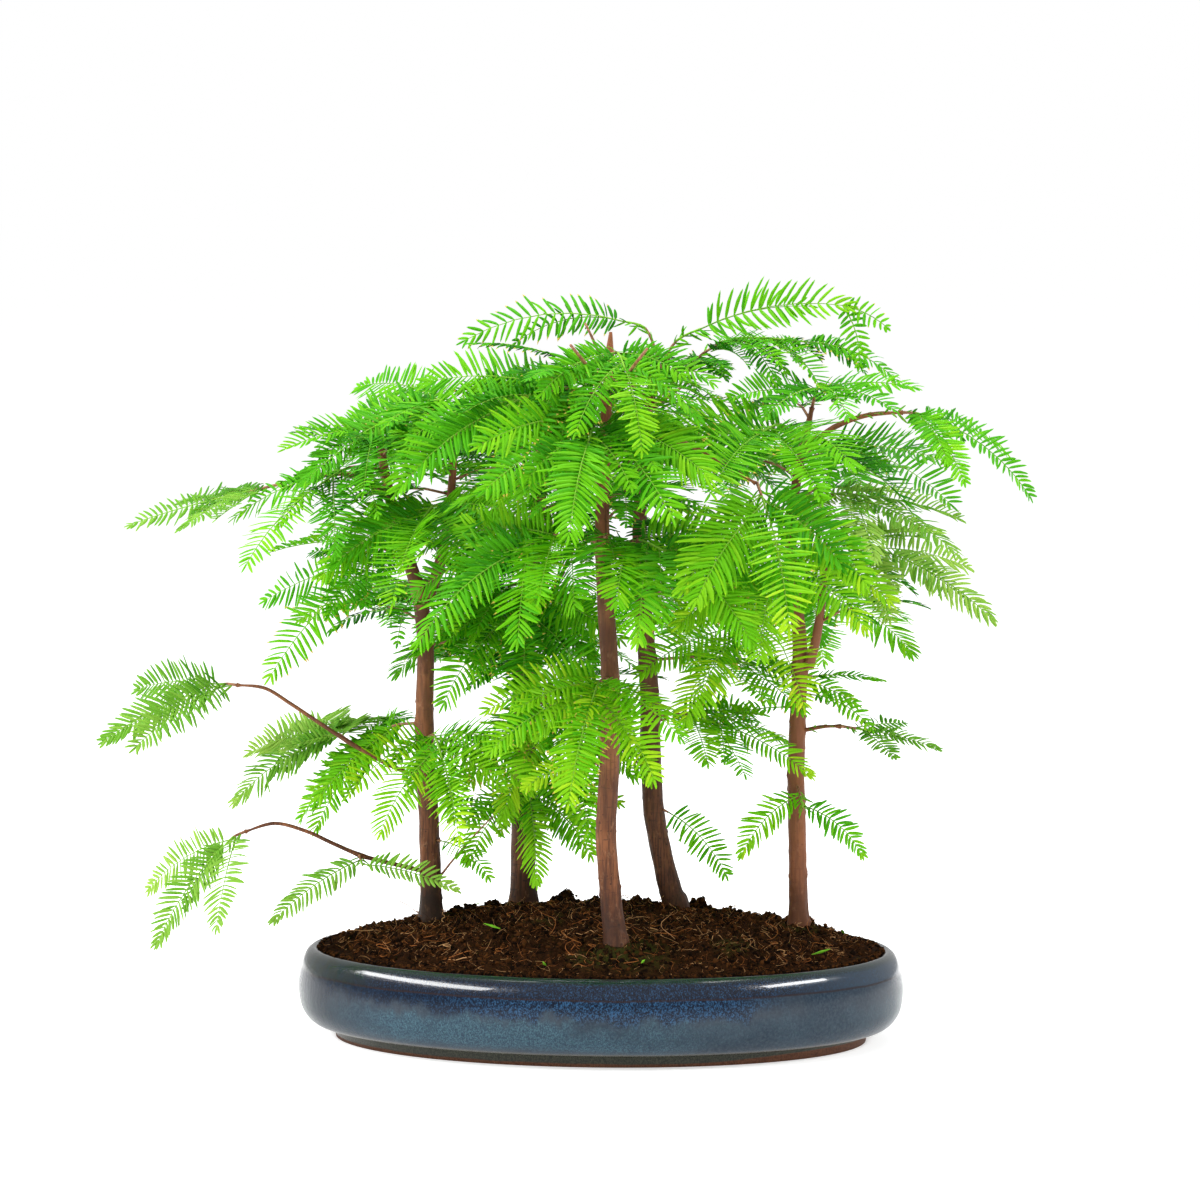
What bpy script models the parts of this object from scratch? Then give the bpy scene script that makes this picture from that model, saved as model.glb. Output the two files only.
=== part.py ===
"""Dawn redwood bonsai forest: five young trees in one oval glazed pot.

Lengths in the tables are in millimetres and angles in degrees. The origin is the
centre of the pot's flat underside, with +X along the pot, +Y to its back and +Z up.
"""

import math
import random
from collections import namedtuple

import bmesh
import bpy
from mathutils import Matrix, Vector
from mathutils.bvhtree import BVHTree

MM = 0.001
CLEAR = 0.3

# Pot: half sizes of the belly, then inset from the belly and height down the section.
POT_HALF_LENGTH = 180
POT_HALF_WIDTH = 126
POT_STEPS = 40
FLOOR_TOP = 12
POT_INSIDE = ((28, 12), (16.5, 17), (13, 28), (12.4, 52.4))
POT_OUTSIDE = (
    (10.6, 53.2), (8, 53.2), (4.4, 50.4), (1.4, 43.6), (0, 32), (1, 20.6), (4.4, 13.4),
    (10, 8.8), (20.4, 6.4), (21.2, 5.6), (22, 0),
)

# Soil: a dome that starts just under the rim and rises to the middle.
SOIL_INSIDE = 0.6
SOIL_EDGE = 52.1
SOIL_RISE = 24
SOIL_POWER = 0.85
SOIL_RINGS = (0, 0.25, 0.48, 0.7, 0.88, 1)
MOUND_SPREAD = 22
MOUND_DEPTH = 14

# Trees: a foot, then the bends of the stem up to its tip, and the radii at both ends.
ROOT_FLARE = 1.5
FLARE_HEIGHT = 7
TRUNK_TAPER = 1.9
TRUNK_RINGS = (0, 2, 6, 12, 24)
TRUNK_STEP = 36
LIMB_STEP = 18
Trunk = namedtuple("Trunk", "name foot bends base tip")
TRUNKS = (
    Trunk("trunk_left", (-101, 0), (
        (-102, 0, 120), (-105, 1, 178), (-105, 0, 250), (-118, -3, 292), (-124, -4, 322),
        (-131, -5, 352), (-133, -5, 370),
    ), 6.2, 1.7),
    Trunk("trunk_rear", (-52, 50), (
        (-52, 50, 110), (-51, 51, 175), (-50, 50, 243), (-42, 49, 316), (-34, 50, 392),
    ), 7.5, 2.0),
    Trunk("trunk_front", (18, -79), (
        (15, -78, 93), (12, -78, 134), (15, -77, 205), (10, -76, 290), (10, -74, 340), (14, -72, 421),
    ), 6.1, 2.0),
    Trunk("trunk_middle", (43, 24), (
        (36, 24, 99), (29, 24, 139), (27, 25, 200), (22, 24, 276), (22, 23, 330), (31, 22, 404),
    ), 6.4, 1.9),
    Trunk("trunk_right", (117, 17), (
        (116, 17, 111), (115, 18, 165), (117, 17, 236), (111, 16, 290), (115, 15, 330), (124, 14, 374),
    ), 5.4, 1.9),
)

# Limbs: the carrier, where they leave it (a height on a trunk, or a share of a limb's
# length), their bends, and the radii at both ends.
Limb = namedtuple("Limb", "name on leaves bends base tip")
LIMBS = (
    Limb("left_leader", "trunk_left", 252, ((-97, -4, 272), (-88, -9, 316), (-84, -11, 368)), 3.6, 1.6),
    Limb("right_leader", "trunk_right", 206, ((124, 12, 224), (129, 8, 248), (134, 6, 292)), 3.2, 1.5),
    Limb("left_upper_bough", "trunk_left", 320, (
        (-140, -10, 333), (-164, -14, 334), (-186, -16, 329),
    ), 1.9, 1.1),
    Limb("left_thin_bough", "trunk_left", 151, (
        (-128, -12, 164), (-153, -20, 180), (-182, -25, 200), (-202, -26, 211), (-213, -25, 210),
    ), 1.4, 1.0),
    Limb("left_low_bough", "trunk_left", 96, (
        (-120, -14, 103), (-142, -22, 110), (-176, -30, 126), (-197, -33, 129), (-207, -34, 124),
    ), 1.4, 1.0),
    Limb("front_arching_bough", "trunk_front", 346, (
        (24, -80, 358), (38, -84, 362), (64, -88, 356), (82, -90, 346), (99, -92, 336),
    ), 2.0, 1.1),
    Limb("right_upper_bough", "trunk_right", 348, ((136, 6, 362), (156, 2, 370), (178, 0, 372)), 1.9, 1.1),
    Limb("right_low_bough", "trunk_right", 181, ((128, 13, 185), (142, 9, 186)), 1.3, 1.0),
)

# Masses of foliage: the carrier, where the stem leaves it, the stem's tip, the number
# and length of the sprays, how far the mass turns its face outward from lying flat,
# how far its stem arches, how far its sprays sag, and their width as a share of the length.
Mass = namedtuple(
    "Mass", "name on leaves tip sprays length face arch sag width", defaults=(4, 84, 38, 0.12, 34, 0.5),
)
MASSES = (
    Mass("left_top", "trunk_left", 360, (-130, -36, 358), 4, 60, 40, 0.12, 24),
    Mass("left_crown", "left_leader", 1.0, (-104, -20, 375), 5, 82, 46, 0.3, 32),
    Mass("left_far", "left_upper_bough", 1.0, (-228, -18, 319), 5, 54, 22, 0, 10),
    Mass("left_upper", "trunk_left", 336, (-160, -44, 330), 4, 76, 34, 0.12, 26),
    Mass("left_shoulder", "trunk_left", 284, (-138, -14, 279), 3, 86, 52, 0.16, 22, 0.44),
    Mass("left_front", "left_leader", 0.45, (-96, -66, 312), 5, 80, 48, 0.12, 34, 0.56),
    Mass("left_inner", "trunk_left", 186, (-138, 12, 174), 4, 72, 46, 0.1, 28, 0.52),
    Mass("left_lower_front", "trunk_left", 176, (-86, -58, 172), 4, 72, 50),
    Mass("left_thin_tip", "left_thin_bough", 1.0, (-226, -26, 209), 3, 76, 62, 0.1, 22, 0.46),
    Mass("left_thin_middle", "left_thin_bough", 0.36, (-162, -6, 180), 4, 72, 58, 0.1, 28, 0.52),
    Mass("left_low_tip", "left_low_bough", 1.0, (-218, -38, 117), 3, 72, 64, 0.1, 28, 0.44),
    Mass("left_low_middle", "left_low_bough", 0.36, (-137, -34, 105), 2, 66, 40, 0, 24, 0.4),
    Mass("left_back", "trunk_left", 246, (-128, 82, 262), 4, 88, 36),
    Mass("rear_top", "trunk_rear", 376, (-50, 78, 376), 4, 84, 30),
    Mass("rear_left", "trunk_rear", 338, (-94, 84, 352), 4, 88, 34),
    Mass("rear_back_high", "trunk_rear", 318, (-34, 122, 326), 4, 92, 40),
    Mass("rear_back_low", "trunk_rear", 236, (-72, 116, 238), 4, 92, 40),
    Mass("rear_front", "trunk_rear", 262, (-44, -2, 246), 5, 80, 50),
    Mass("rear_lower_front", "trunk_rear", 196, (-26, 6, 182), 5, 80, 50),
    Mass("rear_low", "trunk_rear", 140, (-42, 4, 140), 4, 66, 45, 0.12, 44),
    Mass("front_top", "trunk_front", 408, (26, -110, 402), 5, 64, 34, 0.12, 38),
    Mass("front_left_high", "trunk_front", 384, (-42, -104, 380), 5, 84, 60, 0.12, 34, 0.56),
    Mass("front_forward", "trunk_front", 366, (8, -134, 362), 5, 84, 50, 0.12, 34, 0.56),
    Mass("front_left", "trunk_front", 300, (-38, -114, 296), 5, 84, 52, 0.12, 34, 0.56),
    Mass("front_right", "trunk_front", 296, (52, -108, 296), 5, 82, 52, 0.12, 34, 0.56),
    Mass("front_low", "trunk_front", 222, (8, -120, 212), 5, 72, 45),
    Mass("front_arch_tip", "front_arching_bough", 1.0, (106, -106, 323), 5, 80, 60, 0, 34, 0.56),
    Mass("middle_top_left", "trunk_middle", 1.0, (12, 18, 424), 1, 95, 60, 0.36, 50, 0.36),
    Mass("middle_top_right", "trunk_middle", 390, (58, 18, 420), 1, 92, 60, 0.17, 32, 0.46),
    Mass("middle_right_high", "trunk_middle", 374, (120, 28, 412), 5, 60, 30, 0.2, 48),
    Mass("middle_back", "trunk_middle", 330, (44, 106, 342), 4, 92, 40),
    Mass("middle_back_low", "trunk_middle", 250, (32, 102, 250), 4, 92, 40),
    Mass("middle_right", "trunk_middle", 222, (90, 26, 220), 5, 68, 24, 0.05, 20),
    Mass("middle_low", "trunk_middle", 190, (72, 10, 186), 5, 62, 24, 0.06, 26),
    Mass("right_top", "trunk_right", 1.0, (132, -10, 387), 5, 60, 38, 0.2, 32),
    Mass("right_upper_tip", "right_upper_bough", 1.0, (192, -2, 370), 3, 78, 24, 0.06, 38, 0.36),
    Mass("right_side", "trunk_right", 316, (160, -14, 320), 4, 74, 34, 0.1, 26, 0.44),
    Mass("right_lower_side", "right_leader", 1.0, (170, -2, 290), 4, 74, 32, 0.1, 24, 0.44),
    Mass("right_front_high", "trunk_right", 350, (98, -58, 362), 5, 84, 46, 0.12, 34, 0.56),
    Mass("right_front", "trunk_right", 282, (108, -84, 280), 5, 78, 46, 0.12, 34, 0.56),
    Mass("right_front_low", "trunk_right", 250, (84, -56, 244), 4, 76, 46),
    Mass("right_back", "trunk_right", 336, (132, 102, 346), 4, 92, 40),
    Mass("right_back_low", "trunk_right", 256, (118, 102, 254), 4, 92, 40),
    Mass("right_low_tip", "right_low_bough", 1.0, (160, 6, 184), 3, 42, 30, 0, 8),
    Mass("right_low", "trunk_right", 152, (121, -8, 140), 2, 56, 45, 0, 50),
)

STEM_RADIUS = 1.5
STEM_TIP_RADIUS = 1.1
STEM_STEPS = 2
NEEDLE_LEAN = 0.36
TOOTH_PAIRS = 4
BLADE_ROOT = 0.7
BLADE_THICK = 1.7
BARE_STALK = 0.1
LAYER_TURN = 0.4
STEEPEST = 0.26
FORK = 60
TRIES = 16


def mm(values):
    """A vector in metres from millimetres."""
    return Vector(values) * MM


def soil_height(x, y):
    """Height of the soil's dome at a place, in millimetres."""
    across = POT_HALF_LENGTH - POT_INSIDE[-1][0]
    deep = POT_HALF_WIDTH - POT_INSIDE[-1][0]
    share = min(1, (x / across) ** 2 + (y / deep) ** 2)
    return SOIL_EDGE + SOIL_RISE * (1 - share) ** SOIL_POWER


def foot_height(trunk):
    """Height of a trunk's flat foot: the highest soil under its edge."""
    reach = trunk.base + ROOT_FLARE
    turns = [math.tau * step / 12 for step in range(12)]
    return 0.3 + max(
        soil_height(trunk.foot[0] + reach * math.cos(turn), trunk.foot[1] + reach * math.sin(turn))
        for turn in turns
    )


def measured(line):
    """How far along a line each of its points lies."""
    lengths = [0.0]
    for one, two in zip(line, line[1:]):
        lengths.append(lengths[-1] + (two - one).length)
    return lengths


def found(lengths, distance):
    """Which length of a line a distance falls in, and how far along that length."""
    index = 0
    while index < len(lengths) - 2 and lengths[index + 1] < distance:
        index += 1
    share = (distance - lengths[index]) / (lengths[index + 1] - lengths[index])
    return index, min(max(share, 0), 1)


def curved(knots):
    """Close points on a smooth curve through some knots."""
    fine = []
    for index in range(len(knots) - 1):
        before = knots[max(index - 1, 0)]
        start, end = knots[index], knots[index + 1]
        after = knots[min(index + 2, len(knots) - 1)]
        for step in range(12):
            t = step / 12
            fine.append(0.5 * (
                2 * start + (end - before) * t
                + (2 * before - 5 * start + 4 * end - after) * t * t
                + (3 * start - before - 3 * end + after) * t * t * t
            ))
    fine.append(knots[-1].copy())
    return fine


class Way:
    """The line of a limb: rings joined by straight lengths, each ring with its radius."""

    def __init__(self, knots, radius_at, spacing, early=(0,)):
        fine = curved(knots)
        lengths = measured(fine)
        stations = [distance * MM for distance in early]
        count = max(2, round((lengths[-1] - stations[-1]) / spacing))
        step = (lengths[-1] - stations[-1]) / count
        stations += [stations[-1] + step * (index + 1) for index in range(count)]
        self.rings = []
        for distance in stations:
            index, share = found(lengths, distance)
            self.rings.append(fine[index].lerp(fine[index + 1], share))
        if len(early) > 1:
            self.rings[1].xy = self.rings[0].xy
        self.radii = [radius_at(distance / lengths[-1], distance) for distance in stations]
        self.lengths = measured(self.rings)
        self.length = self.lengths[-1]

    def point(self, distance):
        """Point and direction at a distance along the line."""
        index, share = found(self.lengths, distance)
        start, end = self.rings[index:index + 2]
        return start.lerp(end, share), (end - start).normalized()

    def at(self, leaves):
        """Point, direction and radius at a height in millimetres or a share of the length."""
        if leaves <= 1:
            distance = leaves * self.length
        else:
            distance = 0
            while distance < self.length and self.point(distance)[0].z < leaves * MM:
                distance += 0.5 * MM
        index, share = found(self.lengths, distance)
        radius = self.radii[index] + (self.radii[index + 1] - self.radii[index]) * share
        return *self.point(distance), radius


def trunk_way(trunk):
    """The line of a trunk, upright for a moment at its flat foot."""
    foot = mm((*trunk.foot, foot_height(trunk)))
    knots = [foot] + [mm(bend) for bend in trunk.bends]

    def radius(share, distance):
        taper = trunk.base + (trunk.tip - trunk.base) * share ** TRUNK_TAPER
        return (taper + ROOT_FLARE * math.exp(-distance / (FLARE_HEIGHT * MM))) * MM

    return Way(knots, radius, TRUNK_STEP * MM, TRUNK_RINGS)


def leave(carrier, leaves, toward, radius):
    """Where a limb of some radius starts, just clear of its carrier."""
    place, direction, girth = carrier.at(leaves)
    away = (toward - place).normalized()
    if leaves == 1:
        return place + direction * (CLEAR * MM + max(radius, girth) * away.cross(direction).length)
    lean = away.dot(direction)
    square = math.sqrt(max(1 - lean * lean, 0.05))
    return place + away * ((girth + CLEAR * MM + radius * abs(lean)) / square)


def limb_way(limb, carrier):
    """The line of a bough or leader."""
    knots = [mm(bend) for bend in limb.bends]
    knots.insert(0, leave(carrier, limb.leaves, knots[0], limb.base * MM))

    def radius(share, distance):
        return (limb.base + (limb.tip - limb.base) * share) * MM

    return Way(knots, radius, LIMB_STEP * MM)


def stem_way(mass, carrier):
    """The line of a mass's stem: it arches from its carrier to its tip."""
    tip = mm(mass.tip)
    rise = Vector((0, 0, mass.arch * (tip - carrier.at(mass.leaves)[0]).length))
    start = leave(carrier, mass.leaves, tip + rise * 2, STEM_RADIUS * MM)
    middle = start.lerp(tip, 0.5) + rise
    knots = [start, middle, tip]

    def radius(share, distance):
        return (STEM_RADIUS + (STEM_TIP_RADIUS - STEM_RADIUS) * share) * MM

    return Way(knots, radius, (tip - start).length / STEM_STEPS)


Spray = namedtuple("Spray", "base heading normal length sag width")


def square_to(vector, axis):
    """The part of a vector that is square to an axis, as a unit vector."""
    part = vector - axis * vector.dot(axis)
    return part.normalized() if part.length > 1e-4 else axis.orthogonal().normalized()


def outward(mass):
    """The level direction that a mass turns its face to: the front or the back."""
    x, y, _ = mass.tip
    return Vector((0.25 * math.copysign(1, x), -1 if y < 40 else 1, 0)).normalized()


def tilted(mass, face, axis):
    """A normal square to an axis, turned from straight up toward the mass's outer side."""
    return square_to(Vector((0, 0, 1)) * math.cos(face) + outward(mass) * math.sin(face), axis)


def sprays(mass, way, count, seed):
    """The sprays of a stem: one straight on from its tip, then left and right by turns along it.

    A stem with two sprays ends in a fork of them.
    """
    chance = random.Random(seed)
    side_first = chance.choice((-1, 1))
    order = [count - 1, *range(count - 1)]
    for index in order:
        last = index == count - 1 and count != 2
        if count == 2:
            share = (0.4, 1)[index]
        else:
            share = 1 if last else 0.22 + 0.66 * (index + 0.5) / max(count - 1, 1)
        base, ahead = way.point(share * way.length - (1.5 * MM if share == 1 else 0))
        layer = tilted(mass, math.radians(mass.face * LAYER_TURN), ahead)
        side = ahead.cross(layer) * side_first * (-1 if index % 2 else 1)
        spread = 0
        if not last:
            spread = math.radians((FORK if count == 2 else 66 - 26 * share) + chance.uniform(-7, 7))
        heading = ahead * math.cos(spread) + side * math.sin(spread)
        if not last:
            heading.z = min(heading.z, STEEPEST)
            heading.normalize()
        roll = Matrix.Rotation(math.radians(chance.uniform(-16, 16)), 3, heading)
        normal = roll @ tilted(mass, math.radians(mass.face), heading)
        length = mass.length * MM * (1 if last else 0.88 + 0.12 * math.sin(math.pi * share))
        length *= chance.uniform(0.94, 1.04)
        yield Spray(base, heading, normal, length, mass.sag + chance.uniform(-5, 5), mass.width)


def along(spray, share):
    """Point, direction and normal at a share of a spray's sagging midrib."""
    down = square_to(Vector((0, 0, -1)), spray.heading)
    bend = math.radians(spray.sag)
    angle = bend * share
    place = spray.base + (
        spray.heading * math.sin(angle) + down * (1 - math.cos(angle))
    ) * (spray.length / bend)
    turn = Matrix.Rotation(angle, 3, spray.heading.cross(down))
    return place, turn @ spray.heading, turn @ spray.normal


def needle_reach(share):
    """Length of the needles along a spray, as a share of the longest."""
    early = 0.62 + 0.38 * math.sin(math.pi / 2 * min(1, share / 0.4))
    late = max(0, (share - 0.5) / 0.5)
    return early * (1 - 0.6 * late ** 1.4)


def blade(spray, grow=0):
    """Vertices and faces of a toothed blade that thins from its midrib to its teeth.

    GROW, in millimetres, makes it larger all round, to test what it would touch.
    """
    half = spray.length * spray.width / 2 + grow * MM
    points = []

    def put(share, aside, lift):
        place, ahead, normal = along(spray, share)
        points.append(place + ahead.cross(normal) * aside + normal * lift)
        return len(points) - 1

    def ridge(share):
        lift = (BLADE_THICK * (1 - 0.4 * share) / 2 + grow) * MM
        return put(share, 0, lift), put(share, 0, -lift)

    faces = []
    root = (BLADE_ROOT + grow) * MM
    top, under = ridge(0)
    notches = {side: put(0, side * root, 0) for side in (1, -1)}
    faces += [(top, under, notches[1]), (top, notches[-1], under)]
    for index in range(TOOTH_PAIRS):
        share = BARE_STALK + (0.95 - BARE_STALK) * (index + 0.42) / TOOTH_PAIRS
        tip_share = share + NEEDLE_LEAN * half * needle_reach(share) / spray.length
        next_top, next_under = ridge(share)
        ends = index == TOOTH_PAIRS - 1
        tip = put(1 + grow * MM / spray.length, 0, 0) if ends else None
        for side in (1, -1):
            tooth = put(min(tip_share, 0.985), side * half * needle_reach(share), 0)
            notch = tip if ends else put(share + 0.5 / TOOTH_PAIRS, side * root * 1.8, 0)
            inner = notches[side]
            for near, far, turned in ((top, next_top, side == -1), (under, next_under, side == 1)):
                for face in ((near, inner, far), (inner, tooth, far), (tooth, notch, far)):
                    faces.append(face[::-1] if turned else face)
            notches[side] = notch
        top, under = next_top, next_under
    return points, faces


def add_object(name, mesh, collection, material=None):
    """A new object in a collection."""
    item = bpy.data.objects.new(name, mesh)
    collection.objects.link(item)
    if material:
        mesh.materials.clear()
        mesh.materials.append(material)
    return item


def plain_material(name, colour, roughness, metallic=0.0):
    """A Principled material of one colour."""
    material = bpy.data.materials.new(name)
    material.use_nodes = True
    shader = material.node_tree.nodes["Principled BSDF"]
    shader.inputs["Base Color"].default_value = (*colour, 1)
    shader.inputs["Roughness"].default_value = roughness
    shader.inputs["Metallic"].default_value = metallic
    material.diffuse_color = (*colour, 1)
    return material


def baked(item):
    """A closed mesh of an object as it is evaluated, with its loose caps welded."""
    graph = bpy.context.evaluated_depsgraph_get()
    mesh = bpy.data.meshes.new_from_object(item.evaluated_get(graph))
    work = bmesh.new()
    work.from_mesh(mesh)
    bmesh.ops.remove_doubles(work, verts=work.verts, dist=0.00001)
    bmesh.ops.recalc_face_normals(work, faces=work.faces)
    work.to_mesh(mesh)
    work.free()
    return mesh


def tube(name, way, collection, material, resolution):
    """A tapered tube along a line, as a mesh with filled ends."""
    curve = bpy.data.curves.new(name, "CURVE")
    curve.dimensions = "3D"
    curve.bevel_depth = MM
    curve.bevel_resolution = resolution
    curve.use_fill_caps = True
    spline = curve.splines.new("POLY")
    spline.points.add(len(way.rings) - 1)
    for point, ring, radius in zip(spline.points, way.rings, way.radii):
        point.co = (*ring, 1)
        point.radius = radius / MM
    guide = bpy.data.objects.new(name + "_guide", curve)
    collection.objects.link(guide)
    bpy.context.view_layer.update()
    mesh = baked(guide)
    mesh.name = name
    bpy.data.objects.remove(guide)
    bpy.data.curves.remove(curve)
    mesh.shade_smooth()
    mesh.set_sharp_from_angle(angle=math.radians(50))
    return add_object(name, mesh, collection, material)


def turned(name, section, collection, material):
    """A section turned about Z, then made oval so that each inset stays the same."""
    mesh = bpy.data.meshes.new(name + "_section")
    mesh.from_pydata(
        [mm((POT_HALF_LENGTH - inset, 0, height)) for inset, height in section],
        [(index, index + 1) for index in range(len(section) - 1)], [],
    )
    guide = bpy.data.objects.new(name + "_guide", mesh)
    collection.objects.link(guide)
    screw = guide.modifiers.new("Turn", "SCREW")
    screw.steps = POT_STEPS
    screw.render_steps = POT_STEPS
    screw.use_merge_vertices = True
    screw.merge_threshold = 0.00001
    bpy.context.view_layer.update()
    body = baked(guide)
    body.name = name
    bpy.data.objects.remove(guide)
    bpy.data.meshes.remove(mesh)
    narrow = POT_HALF_LENGTH - POT_HALF_WIDTH
    rim = POT_HALF_LENGTH - POT_INSIDE[-1][0] - SOIL_INSIDE
    for vertex in body.vertices:
        reach = math.hypot(vertex.co.x, vertex.co.y) / MM
        across = max(reach, rim if name == "soil" and vertex.co.z > SOIL_EDGE * MM else 140)
        vertex.co.y *= (across - narrow) / across
    body.shade_smooth()
    body.set_sharp_from_angle(angle=math.radians(38))
    return add_object(name, body, collection, material)


def make_pot(collection, material):
    """The oval pot, solid under its floor and flat below."""
    section = [(POT_HALF_LENGTH, FLOOR_TOP), *POT_INSIDE, *POT_OUTSIDE, (POT_HALF_LENGTH, 0)]
    return turned("pot", section, collection, material)


def make_soil(collection, material):
    """The soil that fills the pot, with a flat-topped mound under each trunk."""
    edge = POT_INSIDE[-1][0] + SOIL_INSIDE
    across = POT_HALF_LENGTH - edge
    section = []
    for share in SOIL_RINGS:
        height = SOIL_EDGE + SOIL_RISE * (1 - share ** 2) ** SOIL_POWER
        section.append((POT_HALF_LENGTH - share * across, height))
    section += [(inset + SOIL_INSIDE, height + SOIL_INSIDE) for inset, height in POT_INSIDE[-2::-1]]
    section.append((POT_HALF_LENGTH, FLOOR_TOP + SOIL_INSIDE))
    soil = turned("soil", section, collection, material)
    mounds = bpy.data.collections.new("mounds")
    bpy.context.scene.collection.children.link(mounds)
    for trunk in TRUNKS:
        top = foot_height(trunk) - CLEAR
        radius = trunk.base + ROOT_FLARE + 1.6
        work = bmesh.new()
        bmesh.ops.create_cone(
            work, cap_ends=True, segments=20, depth=MOUND_DEPTH * MM,
            radius1=(radius + MOUND_SPREAD) * MM, radius2=radius * MM,
        )
        mesh = bpy.data.meshes.new("mound")
        work.to_mesh(mesh)
        work.free()
        mound = add_object("mound_" + trunk.name, mesh, mounds)
        mound.location = mm((*trunk.foot, top - MOUND_DEPTH / 2))
    join(soil, mounds)
    return soil


def join(body, extras):
    """Unite an object with a collection of others, which are then removed."""
    name, mesh = body.name, body.data
    materials = list(mesh.materials)
    for solver, neat in (("EXACT", True), ("EXACT", False), ("MANIFOLD", True), ("MANIFOLD", False)):
        union = body.modifiers.new("Join", "BOOLEAN")
        union.operation = "UNION"
        union.operand_type = "COLLECTION"
        union.collection = extras
        union.solver = solver
        bpy.context.view_layer.update()
        graph = bpy.context.evaluated_depsgraph_get()
        joined = bpy.data.meshes.new_from_object(body.evaluated_get(graph))
        body.modifiers.remove(union)
        if tidy(joined, neat):
            break
    body.data = joined
    joined.name = name
    joined.materials.clear()
    for material in materials:
        joined.materials.append(material)
    bpy.data.meshes.remove(mesh)
    for item in list(extras.objects):
        bpy.data.objects.remove(item)
    bpy.data.collections.remove(extras)


def tidy(mesh, neat):
    """Keep the largest closed shell of a mesh; true if its edges all close.

    NEAT also merges doubled points and the splits that a union leaves in flat faces.
    """
    work = bmesh.new()
    work.from_mesh(mesh)
    if neat:
        bmesh.ops.remove_doubles(work, verts=work.verts, dist=0.000002)
        bmesh.ops.dissolve_degenerate(work, edges=work.edges, dist=0.000002)
        bmesh.ops.dissolve_limit(
            work, angle_limit=math.radians(3), verts=work.verts, edges=work.edges, delimit={"NORMAL"},
        )
    bmesh.ops.triangulate(work, faces=work.faces)
    groups = []
    unseen = set(work.verts)
    while unseen:
        group = set()
        heap = [unseen.pop()]
        while heap:
            vertex = heap.pop()
            group.add(vertex)
            for edge in vertex.link_edges:
                other = edge.other_vert(vertex)
                if other in unseen:
                    unseen.discard(other)
                    heap.append(other)
        groups.append(group)
    groups.sort(key=len, reverse=True)
    for group in groups[1:]:
        bmesh.ops.delete(work, geom=list(group), context="VERTS")
    closed = all(edge.is_manifold for edge in work.edges) and work.calc_volume() > 0
    work.to_mesh(mesh)
    work.free()
    return closed


class Space:
    """What is already placed, to keep each new piece clear of it."""

    def __init__(self):
        self.pieces = []

    def add(self, name, item):
        corners = [vertex.co.copy() for vertex in item.data.vertices]
        faces = [tuple(face.vertices) for face in item.data.polygons]
        self.pieces.append((name, BVHTree.FromPolygons(corners, faces), box_of(corners)))

    def free(self, points, faces, own):
        """True where a piece touches nothing but the stem it grows from."""
        low, high = box_of(points)
        tree = BVHTree.FromPolygons(points, faces)
        for name, other, (other_low, other_high) in self.pieces:
            near = all(low[axis] <= other_high[axis] and high[axis] >= other_low[axis] for axis in range(3))
            if name != own and near and tree.overlap(other):
                return False
        return True


def box_of(points):
    """Lowest and highest corner of some points."""
    return (
        [min(point[axis] for point in points) for axis in range(3)],
        [max(point[axis] for point in points) for axis in range(3)],
    )


def varied(spray, chance, step):
    """A spray turned, lifted and shortened a little, more so at each step."""
    turn = Matrix.Rotation(math.radians(chance.uniform(-7, 7) * step), 3, spray.normal)
    lift = Matrix.Rotation(math.radians(chance.uniform(-5, 5) * step), 3, spray.heading.cross(spray.normal))
    heading = lift @ (turn @ spray.heading)
    roll = Matrix.Rotation(math.radians(chance.uniform(-9, 9) * step), 3, heading)
    normal = square_to(roll @ spray.normal, heading)
    return spray._replace(heading=heading, normal=normal, length=spray.length * (1 - 0.02 * step))


def make_mass(mass, way, body, space, seed):
    """One mass of foliage: its stem with toothed blades fused to it."""
    extras = bpy.data.collections.new(mass.name + "_sprays")
    bpy.context.scene.collection.children.link(extras)
    chance = random.Random(seed + 500)
    for spray in sprays(mass, way, mass.sprays, seed):
        for step in range(TRIES):
            trial = varied(spray, chance, step)
            if space.free(*blade(trial, grow=0.35), mass.name):
                points, faces = blade(trial)
                mesh = bpy.data.meshes.new("spray")
                mesh.from_pydata(points, [], faces)
                space.add("spray", add_object("spray", mesh, extras))
                break
    join(body, extras)


def main():
    for item in list(bpy.data.objects):
        bpy.data.objects.remove(item)
    forest = bpy.data.collections.new("dawn_redwood_bonsai_forest")
    bpy.context.scene.collection.children.link(forest)
    glaze = plain_material("blue_glaze", (0.035, 0.07, 0.13), 0.2)
    peat = plain_material("dark_soil", (0.05, 0.025, 0.012), 0.95)
    bark = plain_material("bark", (0.2, 0.1, 0.065), 0.85)
    needles = plain_material("needles", (0.1, 0.42, 0.02), 0.5)

    space = Space()
    space.add("pot", make_pot(forest, glaze))
    space.add("soil", make_soil(forest, peat))
    ways = {}
    for trunk in TRUNKS:
        ways[trunk.name] = trunk_way(trunk)
        space.add(trunk.name, tube(trunk.name, ways[trunk.name], forest, bark, 2))
    for limb in LIMBS:
        ways[limb.name] = limb_way(limb, ways[limb.on])
        space.add(limb.name, tube(limb.name, ways[limb.name], forest, bark, 2))
    stems = {}
    for mass in MASSES:
        ways[mass.name] = stem_way(mass, ways[mass.on])
        stems[mass.name] = tube(mass.name, ways[mass.name], forest, needles, 0)
        space.add(mass.name, stems[mass.name])
    for seed, mass in enumerate(MASSES):
        make_mass(mass, ways[mass.name], stems[mass.name], space, seed)


if __name__ == "__main__":
    main()
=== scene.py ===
"""Looks of the dawn redwood bonsai forest: five young trees in one oval glazed pot.

Lengths in the tables are in millimetres and angles in degrees. Pieces are in metres,
with +X along the pot, +Y to its back and +Z up from its flat underside.
"""

import math
import random
from collections import namedtuple

import bpy
import numpy as np
from mathutils import Matrix, Vector, noise


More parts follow.
